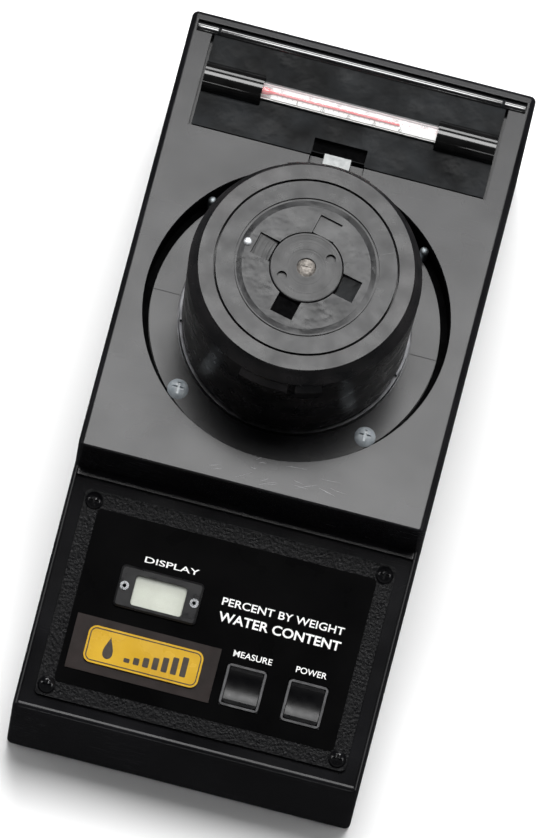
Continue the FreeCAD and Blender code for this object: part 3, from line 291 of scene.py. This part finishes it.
def make_materials():
    """Every finish, by name. Sizes and depths are in metres."""
    made = {}
    dim = {"Specular_IOR_Level": 0.19}      # black gloss that stays dark under the softboxes

    case = plastic("case_plastic", (0.0025, 0.0025, 0.003), (0.006, 0.006, 0.007), (0.20, 0.27),
                   (0.0007, 0.000006), 0.03, **dim)
    made["case_plastic"] = case.scratches(0.16).grain(0.02, 0.00004)

    lid = plastic("lid_plastic", (0.0018, 0.0020, 0.0022), (0.0085, 0.0095, 0.0105), (0.26, 0.5),
                  (0.0008, 0.00001), 0.014, Specular_IOR_Level=0.04)
    made["lid_plastic"] = lid.grain(0.022, 0.0016, 4).scratches(0.1)

    cell_axis = centre_of("cell_cup")
    cap = plastic("cap_plastic", (0.003, 0.0032, 0.0036), (0.012, 0.011, 0.0115), (0.22, 0.36),
                  (0.0009, 0.00001), 0.010, **dim)
    made["cap_plastic"] = cap.bump(turned_rings(cap.tree, cell_axis, 0.0012), 0.000009).grain(
        0.014, 0.00006, 4)

    crown = plastic("crown_plastic", (0.003, 0.0032, 0.0036), (0.008, 0.0082, 0.009), (0.24, 0.36),
                    (0.0009, 0.000008), 0.008, **dim)
    dish = remap(crown.tree, from_axis(crown.tree, cell_axis), 25.5 * MM, 23.5 * MM, 0, 1)
    clouds = noise(crown.tree, 0.013, 3, 0.55)
    crown.bump(maths(crown.tree, "MULTIPLY", dish, clouds), 0.00075)
    crown.grain(0.016, 0.0002, 4)
    made["crown_plastic"] = crown

    made["cone_plastic"] = plastic("cone_plastic", (0.004, 0.004, 0.0045), (0.012, 0.011, 0.0115),
                                   (0.38, 0.55), (0.0007, 0.00002), 0.008, Specular_IOR_Level=0.6)

    # Near black, for sheets of painted shade: the gap round the flange, the notch floor and the
    # near cap window.
    shade_sheet = Finish("shade_sheet_black", Specular_IOR_Level=0.02)
    shade_sheet.colour((0.0008, 0.0008, 0.0009), (0.0025, 0.0025, 0.0027), 0.002)
    shade_sheet.roughness(0.85, 0.95, 0.002)
    made["shade_sheet_black"] = shade_sheet.grain(0.0006, 0.00015)

    made["barrel_plastic"] = plastic("barrel_plastic", (0.003, 0.003, 0.0033),
                                     (0.006, 0.006, 0.0063), (0.14, 0.2), (0.0008, 0.000004), 0.01,
                                     Specular_IOR_Level=0.9)

    made["scuff_grey"] = plastic("scuff_grey", (0.20, 0.20, 0.21), (0.34, 0.34, 0.35), (0.5, 0.7),
                                 (0.0004, 0.000006), 0.003)
    made["dull_stud"] = metal("dull_stud", (0.13, 0.15, 0.16), (0.24, 0.26, 0.27), (0.45, 0.6),
                              0.001)
    dull = metal("dull_metal", (0.060, 0.055, 0.050), (0.13, 0.12, 0.11), (0.35, 0.55), 0.001)
    made["dull_metal"] = dull.grain(0.0008, 0.0001)

    hub = plastic("hub_plastic", (0.003, 0.0032, 0.0034), (0.008, 0.008, 0.0085), (0.26, 0.36),
                  (0.0009, 0.000008), 0.006, **dim)
    made["hub_plastic"] = hub.bump(turned_rings(hub.tree, cell_axis, 0.0035), 0.00022)

    paint = Finish("plate_paint", Specular_IOR_Level=0.10)
    paint.colour((0.002, 0.002, 0.0024), (0.006, 0.006, 0.0065), 0.0012)
    paint.roughness(0.26, 0.42, 0.004)
    cells = wire(paint.tree, "ShaderNodeTexVoronoi", {
        "Vector": place_of(paint.tree), "Scale": 1 / 0.0011, "Smoothness": 0.6},
        feature="SMOOTH_F1").outputs["Distance"]
    paint.bump(cells, 0.00016)
    made["plate_paint"] = paint.grain(0.0007, 0.00016, 4, twist=1.5)

    made["label_film"] = plastic("label_film", (0.0010, 0.0010, 0.0011), (0.0017, 0.0017, 0.0018),
                                 (0.26, 0.33), (0.0005, 0.000003), 0.02, Specular_IOR_Level=0.03)
    backing = plastic("backing_film", (0.012, 0.0085, 0.0075), (0.018, 0.0125, 0.0115),
                      (0.35, 0.5), (0.0006, 0.000008), 0.006, **dim)
    made["backing_film"] = backing.grain(0.004, 0.00003)
    made["badge_enamel"] = plastic("badge_enamel", (0.50, 0.29, 0.016), (0.58, 0.35, 0.025),
                                   (0.22, 0.32), (0.0006, 0.000005), 0.012, Coat_Weight=0.3)

    screw = Finish("black_screw")
    screw.colour((0.002, 0.002, 0.0025), (0.005, 0.005, 0.0055), 0.002)
    screw.roughness(0.12, 0.2, 0.002)
    made["black_screw"] = screw.grain(0.0006, 0.000003)

    made["zinc"] = plastic("zinc", (0.32, 0.36, 0.39), (0.50, 0.54, 0.57), (0.30, 0.5),
                           (0.0005, 0.00001), 0.002, Specular_IOR_Level=1.0)
    made["polished_zinc"] = metal("polished_zinc", (0.60, 0.62, 0.64), (0.72, 0.74, 0.76),
                                  (0.22, 0.32), 0.004)
    made["bezel_plastic"] = plastic("bezel_plastic", (0.004, 0.004, 0.0045), (0.010, 0.010, 0.0105),
                                    (0.24, 0.36), (0.0005, 0.000006), 0.006)

    window = Finish("window_clear", Alpha=0.14, IOR=1.49)
    window.colour((0.80, 0.83, 0.78), (0.88, 0.90, 0.86), 0.008)
    window.roughness(0.05, 0.12, 0.004)
    made["window_clear"] = window.grain(0.01, 0.000004)

    liquid = Finish("display_glass")
    liquid.colour((0.50, 0.52, 0.44), (0.56, 0.58, 0.50), 0.006)
    # Painted shadow: the display darkens over its last 4.5 mm towards the upper edge of the window.
    upslope = wire(liquid.tree, "ShaderNodeSeparateXYZ",
                   {"Vector": place_of(liquid.tree)}).outputs["Y"]
    pane_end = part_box("display_window")[1].y
    shade = remap(liquid.tree, upslope, pane_end - 4.5 * MM, pane_end, 0, 0.7)
    liquid.cover(shade, (0.22, 0.23, 0.19))
    liquid.roughness(0.35, 0.45, 0.005)
    made["display_glass"] = liquid.grain(0.0004, 0.000003)

    made["key_frame"] = plastic("key_frame", (0.035, 0.035, 0.037), (0.075, 0.075, 0.078),
                                (0.30, 0.45), (0.0005, 0.000008), 0.003)
    made["key_black"] = plastic("key_black", (0.0016, 0.0016, 0.002), (0.003, 0.003, 0.0034),
                                (0.26, 0.36), (0.0006, 0.00001), 0.004, **dim)

    board = Finish("board_green")
    board.colour((0.006, 0.045, 0.018), (0.010, 0.085, 0.035), 0.004, stretch=(1, 4, 1), high=0.52)
    board.roughness(0.25, 0.4, 0.004)
    made["board_green"] = board.grain(0.002, 0.00002, stretch=(1, 4, 1))

    made["switch_plastic"] = plastic("switch_plastic", (0.02, 0.02, 0.022), (0.04, 0.04, 0.042),
                                     (0.35, 0.5), (0.0005, 0.000008), 0.004)
    made["brass"] = metal("brass", (0.52, 0.36, 0.12), (0.72, 0.54, 0.22), (0.2, 0.38), 0.003)
    made["rubber"] = plastic("rubber", (0.010, 0.010, 0.010), (0.020, 0.020, 0.020), (0.65, 0.85),
                             (0.0005, 0.00003), 0.005)
    made["sleeve_vinyl"] = plastic("sleeve_vinyl", (0.0025, 0.0025, 0.0025), (0.005, 0.005, 0.005),
                                   (0.08, 0.14), (0.0012, 0.000004), 0.006,
                                   Specular_IOR_Level=0.35)
    made["cell_metal"] = metal("cell_metal", (0.045, 0.046, 0.048), (0.10, 0.10, 0.105),
                               (0.34, 0.48), 0.004, (1, 1, 12))
    made["steel_satin"] = metal("steel_satin", (0.72, 0.74, 0.76), (0.84, 0.86, 0.88), (0.5, 0.6),
                                0.004)
    made["steel"] = metal("steel", (0.40, 0.41, 0.42), (0.58, 0.59, 0.60), (0.24, 0.4), 0.004)
    made["nylon"] = plastic("nylon", (0.56, 0.55, 0.50), (0.66, 0.65, 0.60), (0.4, 0.55),
                            (0.0007, 0.00001), 0.008, Subsurface_Weight=0.1)
    made["spring_steel"] = metal("spring_steel", (0.40, 0.40, 0.42), (0.60, 0.60, 0.62),
                                 (0.25, 0.4), 0.002)

    glass = Finish("tube_glass", Alpha=0.13, IOR=1.5)
    glass.colour((0.80, 0.84, 0.84), (0.92, 0.94, 0.94), 0.01)
    glass.roughness(0.03, 0.08, 0.006)
    made["tube_glass"] = glass.grain(0.006, 0.00001, stretch=(0.2, 1, 1))

    scale = Finish("scale_white")
    scale.colour((0.74, 0.74, 0.72), (0.86, 0.85, 0.83), 0.004)
    side = wire(scale.tree, "ShaderNodeSeparateXYZ", {"Vector": place_of(scale.tree)}).outputs["Y"]
    line = centre_of("thermometer_scale").y
    far_half = remap(scale.tree, side, line - 0.1 * MM, line + 0.5 * MM, 0, 0.85)
    scale.cover(far_half, (0.50, 0.34, 0.35))
    scale.roughness(0.35, 0.5, 0.004)
    made["scale_white"] = scale.grain(0.001, 0.00001)

    spirit = Finish("spirit_red")
    spirit.colour((0.50, 0.004, 0.012), (0.62, 0.01, 0.018), 0.006)
    spirit.roughness(0.10, 0.18, 0.004)
    made["spirit_red"] = spirit.grain(0.003, 0.000004)

    made["catch_grey"] = plastic("catch_grey", (0.20, 0.21, 0.21), (0.30, 0.31, 0.31), (0.5, 0.65),
                                 (0.0006, 0.00002), 0.0025)
    made["battery_can"] = metal("battery_can", (0.30, 0.31, 0.32), (0.50, 0.51, 0.52), (0.22, 0.38),
                                0.006)
    made["battery_wrap"] = plastic("battery_wrap", (0.02, 0.05, 0.10), (0.03, 0.07, 0.14),
                                   (0.25, 0.4), (0.0008, 0.000006), 0.01)
    made["print_white"] = plastic("print_white", (0.80, 0.80, 0.79), (0.90, 0.90, 0.89),
                                  (0.4, 0.55), (0.0004, 0.000006), 0.002)
    made["print_dark"] = plastic("print_dark", (0.020, 0.013, 0.006), (0.032, 0.021, 0.011),
                                 (0.35, 0.5), (0.0004, 0.000006), 0.002)
    made["print_ink"] = plastic("print_ink", (0.010, 0.010, 0.012), (0.02, 0.02, 0.022),
                                (0.4, 0.5), (0.0004, 0.000004), 0.002)
    made["studio_floor"] = plastic("studio_floor", (0.86, 0.86, 0.86), (0.90, 0.90, 0.90),
                                   (0.75, 0.9), (0.004, 0.00002), 0.3)
    return {name: finish.material for name, finish in made.items()}


FINISH_OF = {  # nodes whose finish differs from their slot's
    "cap_crown": "crown_plastic", "indicator_hub": "hub_plastic", "window_cone": "cone_plastic",
    "thermometer_sleeves": "sleeve_vinyl", "hub_screw": "dull_metal", "index_pin": "polished_zinc",
    "bezel_eyelets": "polished_zinc", "hinge_pin": "polished_zinc", "centre_electrode": "steel",
    "pressure_plate": "steel",
}


def dress_nodes(materials):
    """Each CAD node takes the finish of the slot that the record gives it, or its own."""
    for name, thing in nodes.items():
        for slot in thing.material_slots:
            slot.material = materials[FINISH_OF.get(name, slot.material.name.split(".")[0])]


# Mesh builders

def new_piece(name, shape, body, finish, smooth=False):
    """A visible piece from a bmesh, which it uses up."""
    mesh = bpy.data.meshes.new(name)
    bmesh.ops.recalc_face_normals(shape, faces=shape.faces)
    shape.to_mesh(mesh)
    shape.free()
    made = bpy.data.objects.new(name, mesh)
    scene.collection.objects.link(made)
    mesh.materials.append(materials[finish])
    for face in mesh.polygons:
        face.use_smooth = smooth
    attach(made, body)
    return made


def rounded(width, height, radius, x=0, y=0, steps=8):
    """The outline of a rectangle with round corners."""
    points = []
    for corner in range(4):
        across = (1, -1, -1, 1)[corner] * (width / 2 - radius)
        along = (1, 1, -1, -1)[corner] * (height / 2 - radius)
        for step in range(steps + 1):
            angle = (corner + step / steps) * math.pi / 2
            points.append((x + across + radius * math.cos(angle),
                           y + along + radius * math.sin(angle)))
    return points


def slab(shape, outline, thickness, place, hole=None):
    """A flat slab over a closed outline. A hole has as many points as the outline."""
    def level(points, height):
        return [shape.verts.new(place @ Vector((x * MM, y * MM, height * MM))) for x, y in points]

    bottom, top = level(outline, 0), level(outline, thickness)
    pairs = [(index, (index + 1) % len(outline)) for index in range(len(outline))]
    for i, j in pairs:
        shape.faces.new((bottom[i], bottom[j], top[j], top[i]))
    if hole is None:
        shape.faces.new(top)
        shape.faces.new(bottom[::-1])
        return
    inner_bottom, inner_top = level(hole, 0), level(hole, thickness)
    for i, j in pairs:
        shape.faces.new((top[i], top[j], inner_top[j], inner_top[i]))
        shape.faces.new((bottom[j], bottom[i], inner_bottom[i], inner_bottom[j]))
        shape.faces.new((inner_bottom[j], inner_bottom[i], inner_top[i], inner_top[j]))


def lathe(profile, place, steps=40, ring=False):
    """A shape turned about Z from radius, height pairs, which start and end on the axis unless
    the shape is a ring."""
    shape = bmesh.new()
    rings = []
    for radius, height in profile:
        if radius == 0:
            rings.append([shape.verts.new(place @ Vector((0, 0, height * MM)))])
            continue
        rings.append([shape.verts.new(place @ Vector((
            radius * MM * math.cos(math.tau * step / steps),
            radius * MM * math.sin(math.tau * step / steps), height * MM)))
            for step in range(steps)])
    for first, second in zip(rings, rings[1:] + rings[:1] * ring):
        for step in range(steps):
            after = (step + 1) % steps
            corners = [first[step % len(first)], first[after % len(first)],
                       second[after % len(second)], second[step % len(second)]]
            shape.faces.new(list(dict.fromkeys(corners)))
    return shape


def along_x(x, centre):
    """The frame of a shape turned about a line through a centre that runs along X from x."""
    return Matrix.Translation((x, centre.y, centre.z)) @ Matrix.Rotation(math.pi / 2, 4, "Y")


def coil(shape, centre, radius, start, end, turns, section, phase=0, per_turn=48):
    """Sweep a section, as out and up pairs in metres, along an upright helix."""
    count = int(per_turn * turns)
    last = None
    for step in range(count + 1):
        share = step / count
        angle = phase + math.tau * turns * share
        height = start + (end - start) * share
        ring = [shape.verts.new((centre.x + (radius + out) * math.cos(angle),
                                 centre.y + (radius + out) * math.sin(angle), height + up))
                for out, up in section]
        if last is None:
            shape.faces.new(ring)
        else:
            for index in range(len(ring)):
                after = (index + 1) % len(ring)
                shape.faces.new((last[index], last[after], ring[after], ring[index]))
        last = ring
    shape.faces.new(last[::-1])


def letters(words, width, height, x, y, place, weight=0.0, depth=0.05):
    """Words as a thin raised mesh that fills a width and height in millimetres round x, y."""
    curve = bpy.data.curves.new("letters", "FONT")
    curve.body = words
    curve.offset = weight
    curve.resolution_u = 4
    carrier = bpy.data.objects.new("letters", curve)
    scene.collection.objects.link(carrier)
    bpy.context.view_layer.update()
    mesh = bpy.data.meshes.new_from_object(carrier)
    bpy.data.objects.remove(carrier)
    bpy.data.curves.remove(curve)
    shape = bmesh.new()
    shape.from_mesh(mesh)
    bpy.data.meshes.remove(mesh)
    bmesh.ops.remove_doubles(shape, verts=shape.verts, dist=1e-6)
    lows = [min(v.co[axis] for v in shape.verts) for axis in (0, 1)]
    highs = [max(v.co[axis] for v in shape.verts) for axis in (0, 1)]
    wide, tall = width / (highs[0] - lows[0]), height / (highs[1] - lows[1])
    for vert in shape.verts:
        vert.co = ((x + (vert.co.x - (lows[0] + highs[0]) / 2) * wide) * MM,
                   (y + (vert.co.y - (lows[1] + highs[1]) / 2) * tall) * MM, 0)
    lifted = bmesh.ops.extrude_face_region(shape, geom=list(shape.faces))["geom"]
    bmesh.ops.translate(shape, vec=(0, 0, depth * MM),
                        verts=[v for v in lifted if isinstance(v, bmesh.types.BMVert)])
    bmesh.ops.transform(shape, matrix=place, verts=shape.verts)
    return shape


def merged(shapes):
    """Several bmeshes as one."""
    whole = bmesh.new()
    for shape in shapes:
        piece = bpy.data.meshes.new("part")
        shape.to_mesh(piece)
        shape.free()
        whole.from_mesh(piece)
        bpy.data.meshes.remove(piece)
    return whole


# Pieces. Their numbers are in millimetres, and those named for a CAD size repeat it.

LABEL_THICKNESS = 0.3
BADGE_RISE = 1.1              # of the badge's face over the label's
BADGE = {"x": -23.05, "y": -16.05, "width": 43.1, "height": 13.7, "round": 3}
PRINT_RISE = 0.004
PRINT_DEPTH = 0.05
LABEL_WORDS = (  # words, width, height, x, y, weight
    ("DISPLAY", 20.4, 2.2, -21.1, 18.6, 0.008),
    ("PERCENT BY WEIGHT", 45.9, 2.9, 22.75, 10.95, 0.012),
    ("WATER CONTENT", 45.9, 3.6, 22.75, 5.3, 0.02),
    ("MEASURE", 14.5, 2.3, 15.75, -6.5, 0.008),
    ("POWER", 11.5, 2.3, 37.8, -6.5, 0.008),
)


def on_label(rise=0.0):
    """The frame of the control label: x across, y up the slope, z off its face, in millimetres."""
    face = Matrix.Translation(centre_of("panel_label")) @ Matrix.Rotation(SLOPE, 4, "X")
    return face @ Matrix.Translation((0, 0, (LABEL_THICKNESS / 2 + rise) * MM))


def add_label_print():
    face = on_label(PRINT_RISE)
    shapes = [letters(words, width, height, x, y, face, weight)
              for words, width, height, x, y, weight in LABEL_WORDS]
    new_piece("label_print", merged(shapes), "case", "print_white")


def add_badge_marks():
    """A thin border and a plain sign for moisture: a drop and a row of rising bars."""
    face = on_label(BADGE_RISE + PRINT_RISE)
    x, y = BADGE["x"], BADGE["y"]
    shape = bmesh.new()
    outer, inner = (rounded(BADGE["width"] - 2 * inset, BADGE["height"] - 2 * inset,
                            BADGE["round"] - inset, x, y) for inset in (0.7, 1.1))
    slab(shape, outer, PRINT_DEPTH, face, inner)
    drop_x, drop_y, drop_width, drop_reach = x - 13, y - 0.2, 2.7, 4.1
    drop = []
    for step in range(32):
        angle = math.tau * step / 32
        across = drop_width * math.sin(angle) * math.sin(angle / 2) ** 1.6
        drop.append((drop_x + across, drop_y + drop_reach * math.cos(angle)))
    slab(shape, drop, PRINT_DEPTH, face)
    bars_x, bars_foot, pitch, shortest, growth = x - 5.6, y - 3.8, 3.5, 1.6, 0.95
    for index in range(7):
        tall = shortest + growth * index
        outline = rounded(2.2, tall, 0.4, bars_x + pitch * index, bars_foot + tall / 2)
        slab(shape, outline, PRINT_DEPTH, face)
    new_piece("badge_marks", shape, "case", "print_dark")


def add_thermometer_marks():
    """Ticks and numbers: Celsius along the near edge of the strip, Fahrenheit along the far one."""
    low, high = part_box("thermometer_scale")
    face = Matrix.Translation((0, (low.y + high.y) / 2, high.z + 0.01 * MM))
    spacing, zero = 0.97, -19.5     # millimetres to a degree Celsius, and the x of its zero

    def from_celsius(degree):
        return zero + degree * spacing

    def from_fahrenheit(degree):
        return from_celsius((degree - 32) / 1.8)

    marks, numbers = bmesh.new(), []
    for side, x_of, ticks, numbered, long_step in (
            (-1, from_celsius, range(-8, 48, 2), range(0, 50, 10), 10),
            (1, from_fahrenheit, range(20, 120, 5), range(20, 121, 20), 20)):
        for degree in ticks:
            width, height, y = (0.26, 1.0, 0.85) if degree % long_step == 0 else (0.18, 0.7, 0.7)
            slab(marks, rounded(width, height, 0.05, x_of(degree), side * y, 2), 0.02, face)
        for degree in numbered:
            word = str(degree)
            numbers.append(letters(word, 0.75 * len(word), 1.0, x_of(degree), side * 1.7, face,
                                   0.01, 0.02))
    new_piece("thermometer_marks", merged([marks, *numbers]), "lid", "print_ink")


def add_scale_backing():
    """A milky half-round behind the flat strip, as wide as the inside of the tube."""
    centre = centre_of("thermometer_tube")
    half_length = -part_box("thermometer_sleeves")[0].x - 20 * MM
    outer, inner, reach, steps = 2.95 * MM, 2.75 * MM, math.radians(88), 16
    angles = [reach * (2 * step / steps - 1) for step in range(steps + 1)]
    arc = [(outer, angle) for angle in angles] + [(inner, angle) for angle in angles[::-1]]
    shape = bmesh.new()
    first, last = ([shape.verts.new((x, centre.y + radius * math.sin(angle),
                                     centre.z - radius * math.cos(angle)))
                    for radius, angle in arc] for x in (-half_length, half_length))
    for index in range(len(arc)):
        after = (index + 1) % len(arc)
        shape.faces.new((first[index], first[after], last[after], last[index]))
    shape.faces.new(first)
    shape.faces.new(last[::-1])
    new_piece("scale_backing", shape, "lid", "scale_white")


RECESS_RADIUS = 56.5


def add_recess_seal():
    """A black sheet of painted shade in the gap between the flange and the wall of the recess,
    standing in for the shadow down there.
    """
    flange_low, flange_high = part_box("cell_flange")
    centre = centre_of("cell_flange")
    inner, floor = (flange_high.x - flange_low.x) / 2 / MM + 0.15, flange_low.z / MM + 0.05
    wall, top = RECESS_RADIUS - 0.1, PANEL_TOP - 0.8
    sheet, lip = 0.6, 0.25        # how thick it is on the floor and up the wall
    profile = [(inner, floor), (wall, floor), (wall, top), (wall - lip, top),
               (wall - lip, floor + sheet), (inner, floor + sheet)]
    place = Matrix.Translation((centre.x, centre.y, 0))
    new_piece("recess_painted_shade", lathe(profile, place, 128, ring=True), "case", "shade_sheet_black")


NOTCH_MIDDLE, NOTCH_LEDGE = 92.2, 88.8      # the y and the height of the finger notch's floor


def add_notch_liner():
    """A thin black sheet of painted shade on the floor of the lid's finger notch."""
    floor = Matrix.Translation((0, NOTCH_MIDDLE * MM, NOTCH_LEDGE * MM))
    shape = bmesh.new()
    slab(shape, rounded(19.7, 4.0, 0.4), 0.06, floor)
    new_piece("notch_painted_shade", shape, "lid", "shade_sheet_black")


BARREL_RADIUS = 1.9
HINGE_SPANS = (("case", -62.0, -54.2), ("lid", -53.2, 53.2), ("case", 54.2, 62.0))


def add_hinge_sheen():
    """The polished skin of the hinge's barrels."""
    centre = centre_of("hinge_pin")
    radius, edge = BARREL_RADIUS + 0.05, 0.1
    for index, (body, start, end) in enumerate(HINGE_SPANS):
        length = end - start
        profile = [(0, 0), (radius - 0.03, 0), (radius, edge), (radius, length - edge),
                   (radius - 0.03, length), (0, length)]
        new_piece(f"hinge_barrel_{index}", lathe(profile, along_x(start * MM, centre), 40), body,
                  "barrel_plastic", smooth=True)


def add_index_ball():
    """The index pin's head, domed."""
    low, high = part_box("index_pin")
    centre = centre_of("index_pin")
    radius, height = (high.x - low.x) / 2 / MM, (high.z - low.z) / MM
    dome = radius * 0.8
    profile = [(0, 0), (radius, 0), (radius, height - dome)]
    profile += [(radius * math.cos(angle), height - dome * (1 - math.sin(angle)))
                for angle in (0.3, 0.6, 0.9, 1.2, 1.4)] + [(0, height)]
    place = Matrix.Translation((centre.x, centre.y, low.z))
    made = new_piece("index_dome", lathe(profile, place, 32), "cap", "steel_satin",
                     smooth=True)
    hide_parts("index_pin")


def add_spirit():
    """The bulb narrows into the column, which ends in a round meniscus."""
    low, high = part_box("spirit_column")
    length = (high.x - low.x) / MM
    bulb = [(0, 0), (0.9, 0.15), (1.35, 0.7), (1.4, 1.6), (1.4, 4.6), (1.2, 5.6), (0.75, 6.6),
            (0.52, 7.6), (0.5, 9)]
    meniscus = [(0.5, length - 0.5), (0.38, length - 0.15), (0, length)]
    place = along_x(low.x, centre_of("spirit_column"))
    made = new_piece("spirit", lathe(bulb + meniscus, place, 24), "lid", "spirit_red",
                     smooth=True)
    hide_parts("spirit_column")


CUP_WALL = 38.45              # just inside the cup's outer wall, so that the ridges stand on it


def add_cell_thread():
    """Three ridges that wind round the cup inside the cap's skirt."""
    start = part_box("cap_shell")[0].z + 1.5 * MM
    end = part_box("cell_cup")[1].z - 2 * MM
    lead, starts = 9 * MM, 3
    shape = bmesh.new()
    ridge = [(0, -0.75 * MM), (0.4 * MM, -0.15 * MM), (0.4 * MM, 0.15 * MM), (0, 0.75 * MM)]
    for index in range(starts):
        coil(shape, centre_of("cell_cup"), CUP_WALL * MM, start, end, (end - start) / lead, ridge,
             math.tau * index / starts)
    new_piece("cell_thread", shape, "case", "cell_metal")


def add_cap_spring():
    """A real coil, in place of the CAD spring."""
    low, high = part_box("cap_spring")
    centre = centre_of("cap_spring")
    wire_radius, turns, travel = 1.2 * MM, 7, 3 * MM
    radius = (high.x - low.x) / 2 - wire_radius
    angles = [math.tau * step / 14 for step in range(14)]
    section = [(wire_radius * math.cos(angle), wire_radius * math.sin(angle)) for angle in angles]
    shape = bmesh.new()
    coil(shape, centre, radius, low.z + wire_radius, high.z - wire_radius, turns, section)
    made = new_piece("pressure_spring", shape, "cap_carrier", "spring_steel",
                     smooth=True)
    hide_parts("cap_spring")
    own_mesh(made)


def add_battery_wrap():
    """The printed wrap round the can, with its pole signs."""
    low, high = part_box("battery_block")
    centre = centre_of("battery_block")
    width, height = (high.y - low.y) / MM + 0.3, (high.z - low.z) / MM + 0.3
    start, end = low.x / MM + 1.5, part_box("battery_snap")[0].x / MM - 2.5
    length = end - start
    across = (Matrix.Translation((start * MM, centre.y, centre.z))
              @ Matrix.Rotation(math.pi / 2, 4, "Z") @ Matrix.Rotation(math.pi / 2, 4, "X"))
    shape = bmesh.new()
    slab(shape, rounded(width, height, 1.6), length, across,
         rounded(width - 0.28, height - 0.28, 1.4))
    new_piece("battery_wrap", shape, "case", "battery_wrap")

    top = Matrix.Translation(((start + end) / 2 * MM, centre.y, high.z + 0.16 * MM))
    poles_x = length / 2 - 4
    signs = [letters(word, wide, tall, x, y, top, 0.02) for word, wide, tall, x, y in (
        ("9 V", 9, 5, -2, 0), ("+", 3, 3, poles_x, -6.4), ("-", 3, 0.8, poles_x, 6.4))]
    new_piece("battery_signs", merged(signs), "case", "print_white")


def add_mould_line():
    """The faint weld line across the crown's outer ring."""
    centre, top = centre_of("cap_crown"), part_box("cap_crown")[1].z
    length, width, from_centre, bearing = 5.4, 0.14, 29.8, math.radians(25)
    place = Matrix.Translation((centre.x, centre.y, top)) @ Matrix.Rotation(bearing, 4, "Z")
    shape = bmesh.new()
    slab(shape, rounded(length, width, 0.06, from_centre, 0, 3), 0.03, place)
    new_piece("cap_mould_line", shape, "cap", "print_ink")


STUDS = ((-40.5, 62.2), (39.1, 63.6))       # x, y judged from the photo, as no CAD node has them


def add_rear_studs():
    """The two studs that stand in the gap behind the flange."""
    flange_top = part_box("cell_flange")[1].z
    profile = [(0, -0.6), (1.6, -0.6), (1.6, 6.9), (1.4, 7.5), (0.9, 7.9), (0, 8)]
    for index, (x, y) in enumerate(STUDS):
        place = Matrix.Translation((x * MM, y * MM, flange_top))
        new_piece(f"flange_stud_{index}", lathe(profile, place, 32), "case", "dull_stud",
                  smooth=True)


def add_panel_scratches():
    """Hair-fine wear marks on the panel in front of the recess."""
    draw = random.Random(7)
    points = 9
    panel = Matrix.Translation((0, 0, PANEL_TOP * MM))
    shape = bmesh.new()
    for _ in range(16):
        x, y = draw.uniform(-22, 34), draw.uniform(-40, -31)
        length, turn = draw.uniform(2, 9), draw.gauss(0.15, 0.35)
        bend = draw.uniform(-0.25, 0.25)
        half = draw.uniform(0.03, 0.06)
        run, rise = math.cos(turn), math.sin(turn)
        near_edge, far_edge = [], []
        for step in range(points):
            share = step / (points - 1) - 0.5
            along, across = share * length, bend * math.cos(math.pi * share)
            taper = math.sin(math.pi * (step + 0.5) / points) * half
            a, b = x + along * run - across * rise, y + along * rise + across * run
            far_edge.append((a - rise * taper, b + run * taper))
            near_edge.append((a + rise * taper, b - run * taper))
        slab(shape, far_edge + near_edge[::-1], 0.02, panel)
    new_piece("panel_scratches", shape, "case", "scuff_grey")


WINDOWS = (  # name, bearing from the back and slant in degrees, finish, picked to paint how lit or shaded each pane looks
    ("far", 13, 2.5, "crown_plastic"), ("right", 103, 6, "lid_plastic"),
    ("near", 193, 0, "shade_sheet_black"), ("left", 283, 7, "hub_plastic"),
)


def add_window_panes():
    """The faces that show in the crown's four windows, each at its own slant, and each in a finish
    picked as painted light or shade: the far pane lit, the side panes darker, the near pane black.
    """
    centre, top = centre_of("cap_crown"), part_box("cap_crown")[1].z
    from_centre, depth = 17.1 * MM, 2.0 * MM
    for name, bearing, slant, finish in WINDOWS:
        place = (Matrix.Translation((centre.x, centre.y, top - depth))
                 @ Matrix.Rotation(math.radians(-bearing), 4, "Z")
                 @ Matrix.Translation((0, from_centre, 0))
                 @ Matrix.Rotation(math.radians(slant), 4, "X"))
        shape = bmesh.new()
        slab(shape, rounded(8.6, 6.8, 0.3, steps=4), 0.3, place)
        new_piece(f"cap_window_{name}", shape, "cap", finish)


def add_floor():
    """A plain floor that glossy rays don't see, so that black walls stay black."""
    mesh = bpy.data.meshes.new("studio_floor")
    shape = bmesh.new()
    bmesh.ops.create_grid(shape, x_segments=8, y_segments=8, size=12)
    shape.to_mesh(mesh)
    shape.free()
    mesh.materials.append(materials["studio_floor"])
    floor = bpy.data.objects.new("studio_floor", mesh)
    scene.collection.objects.link(floor)
    floor.location.z = low.z - 0.1 * MM
    floor.visible_glossy = False


add_camera()
add_studio()
materials = make_materials()
dress_nodes(materials)
add_floor()
add_label_print()
add_badge_marks()
add_thermometer_marks()
add_scale_backing()
add_spirit()
add_recess_seal()
add_notch_liner()
add_hinge_sheen()
add_index_ball()
add_rear_studs()
add_panel_scratches()
add_window_panes()
add_cell_thread()
add_cap_spring()
add_battery_wrap()
add_mould_line()

bpy.context.view_layer.update()
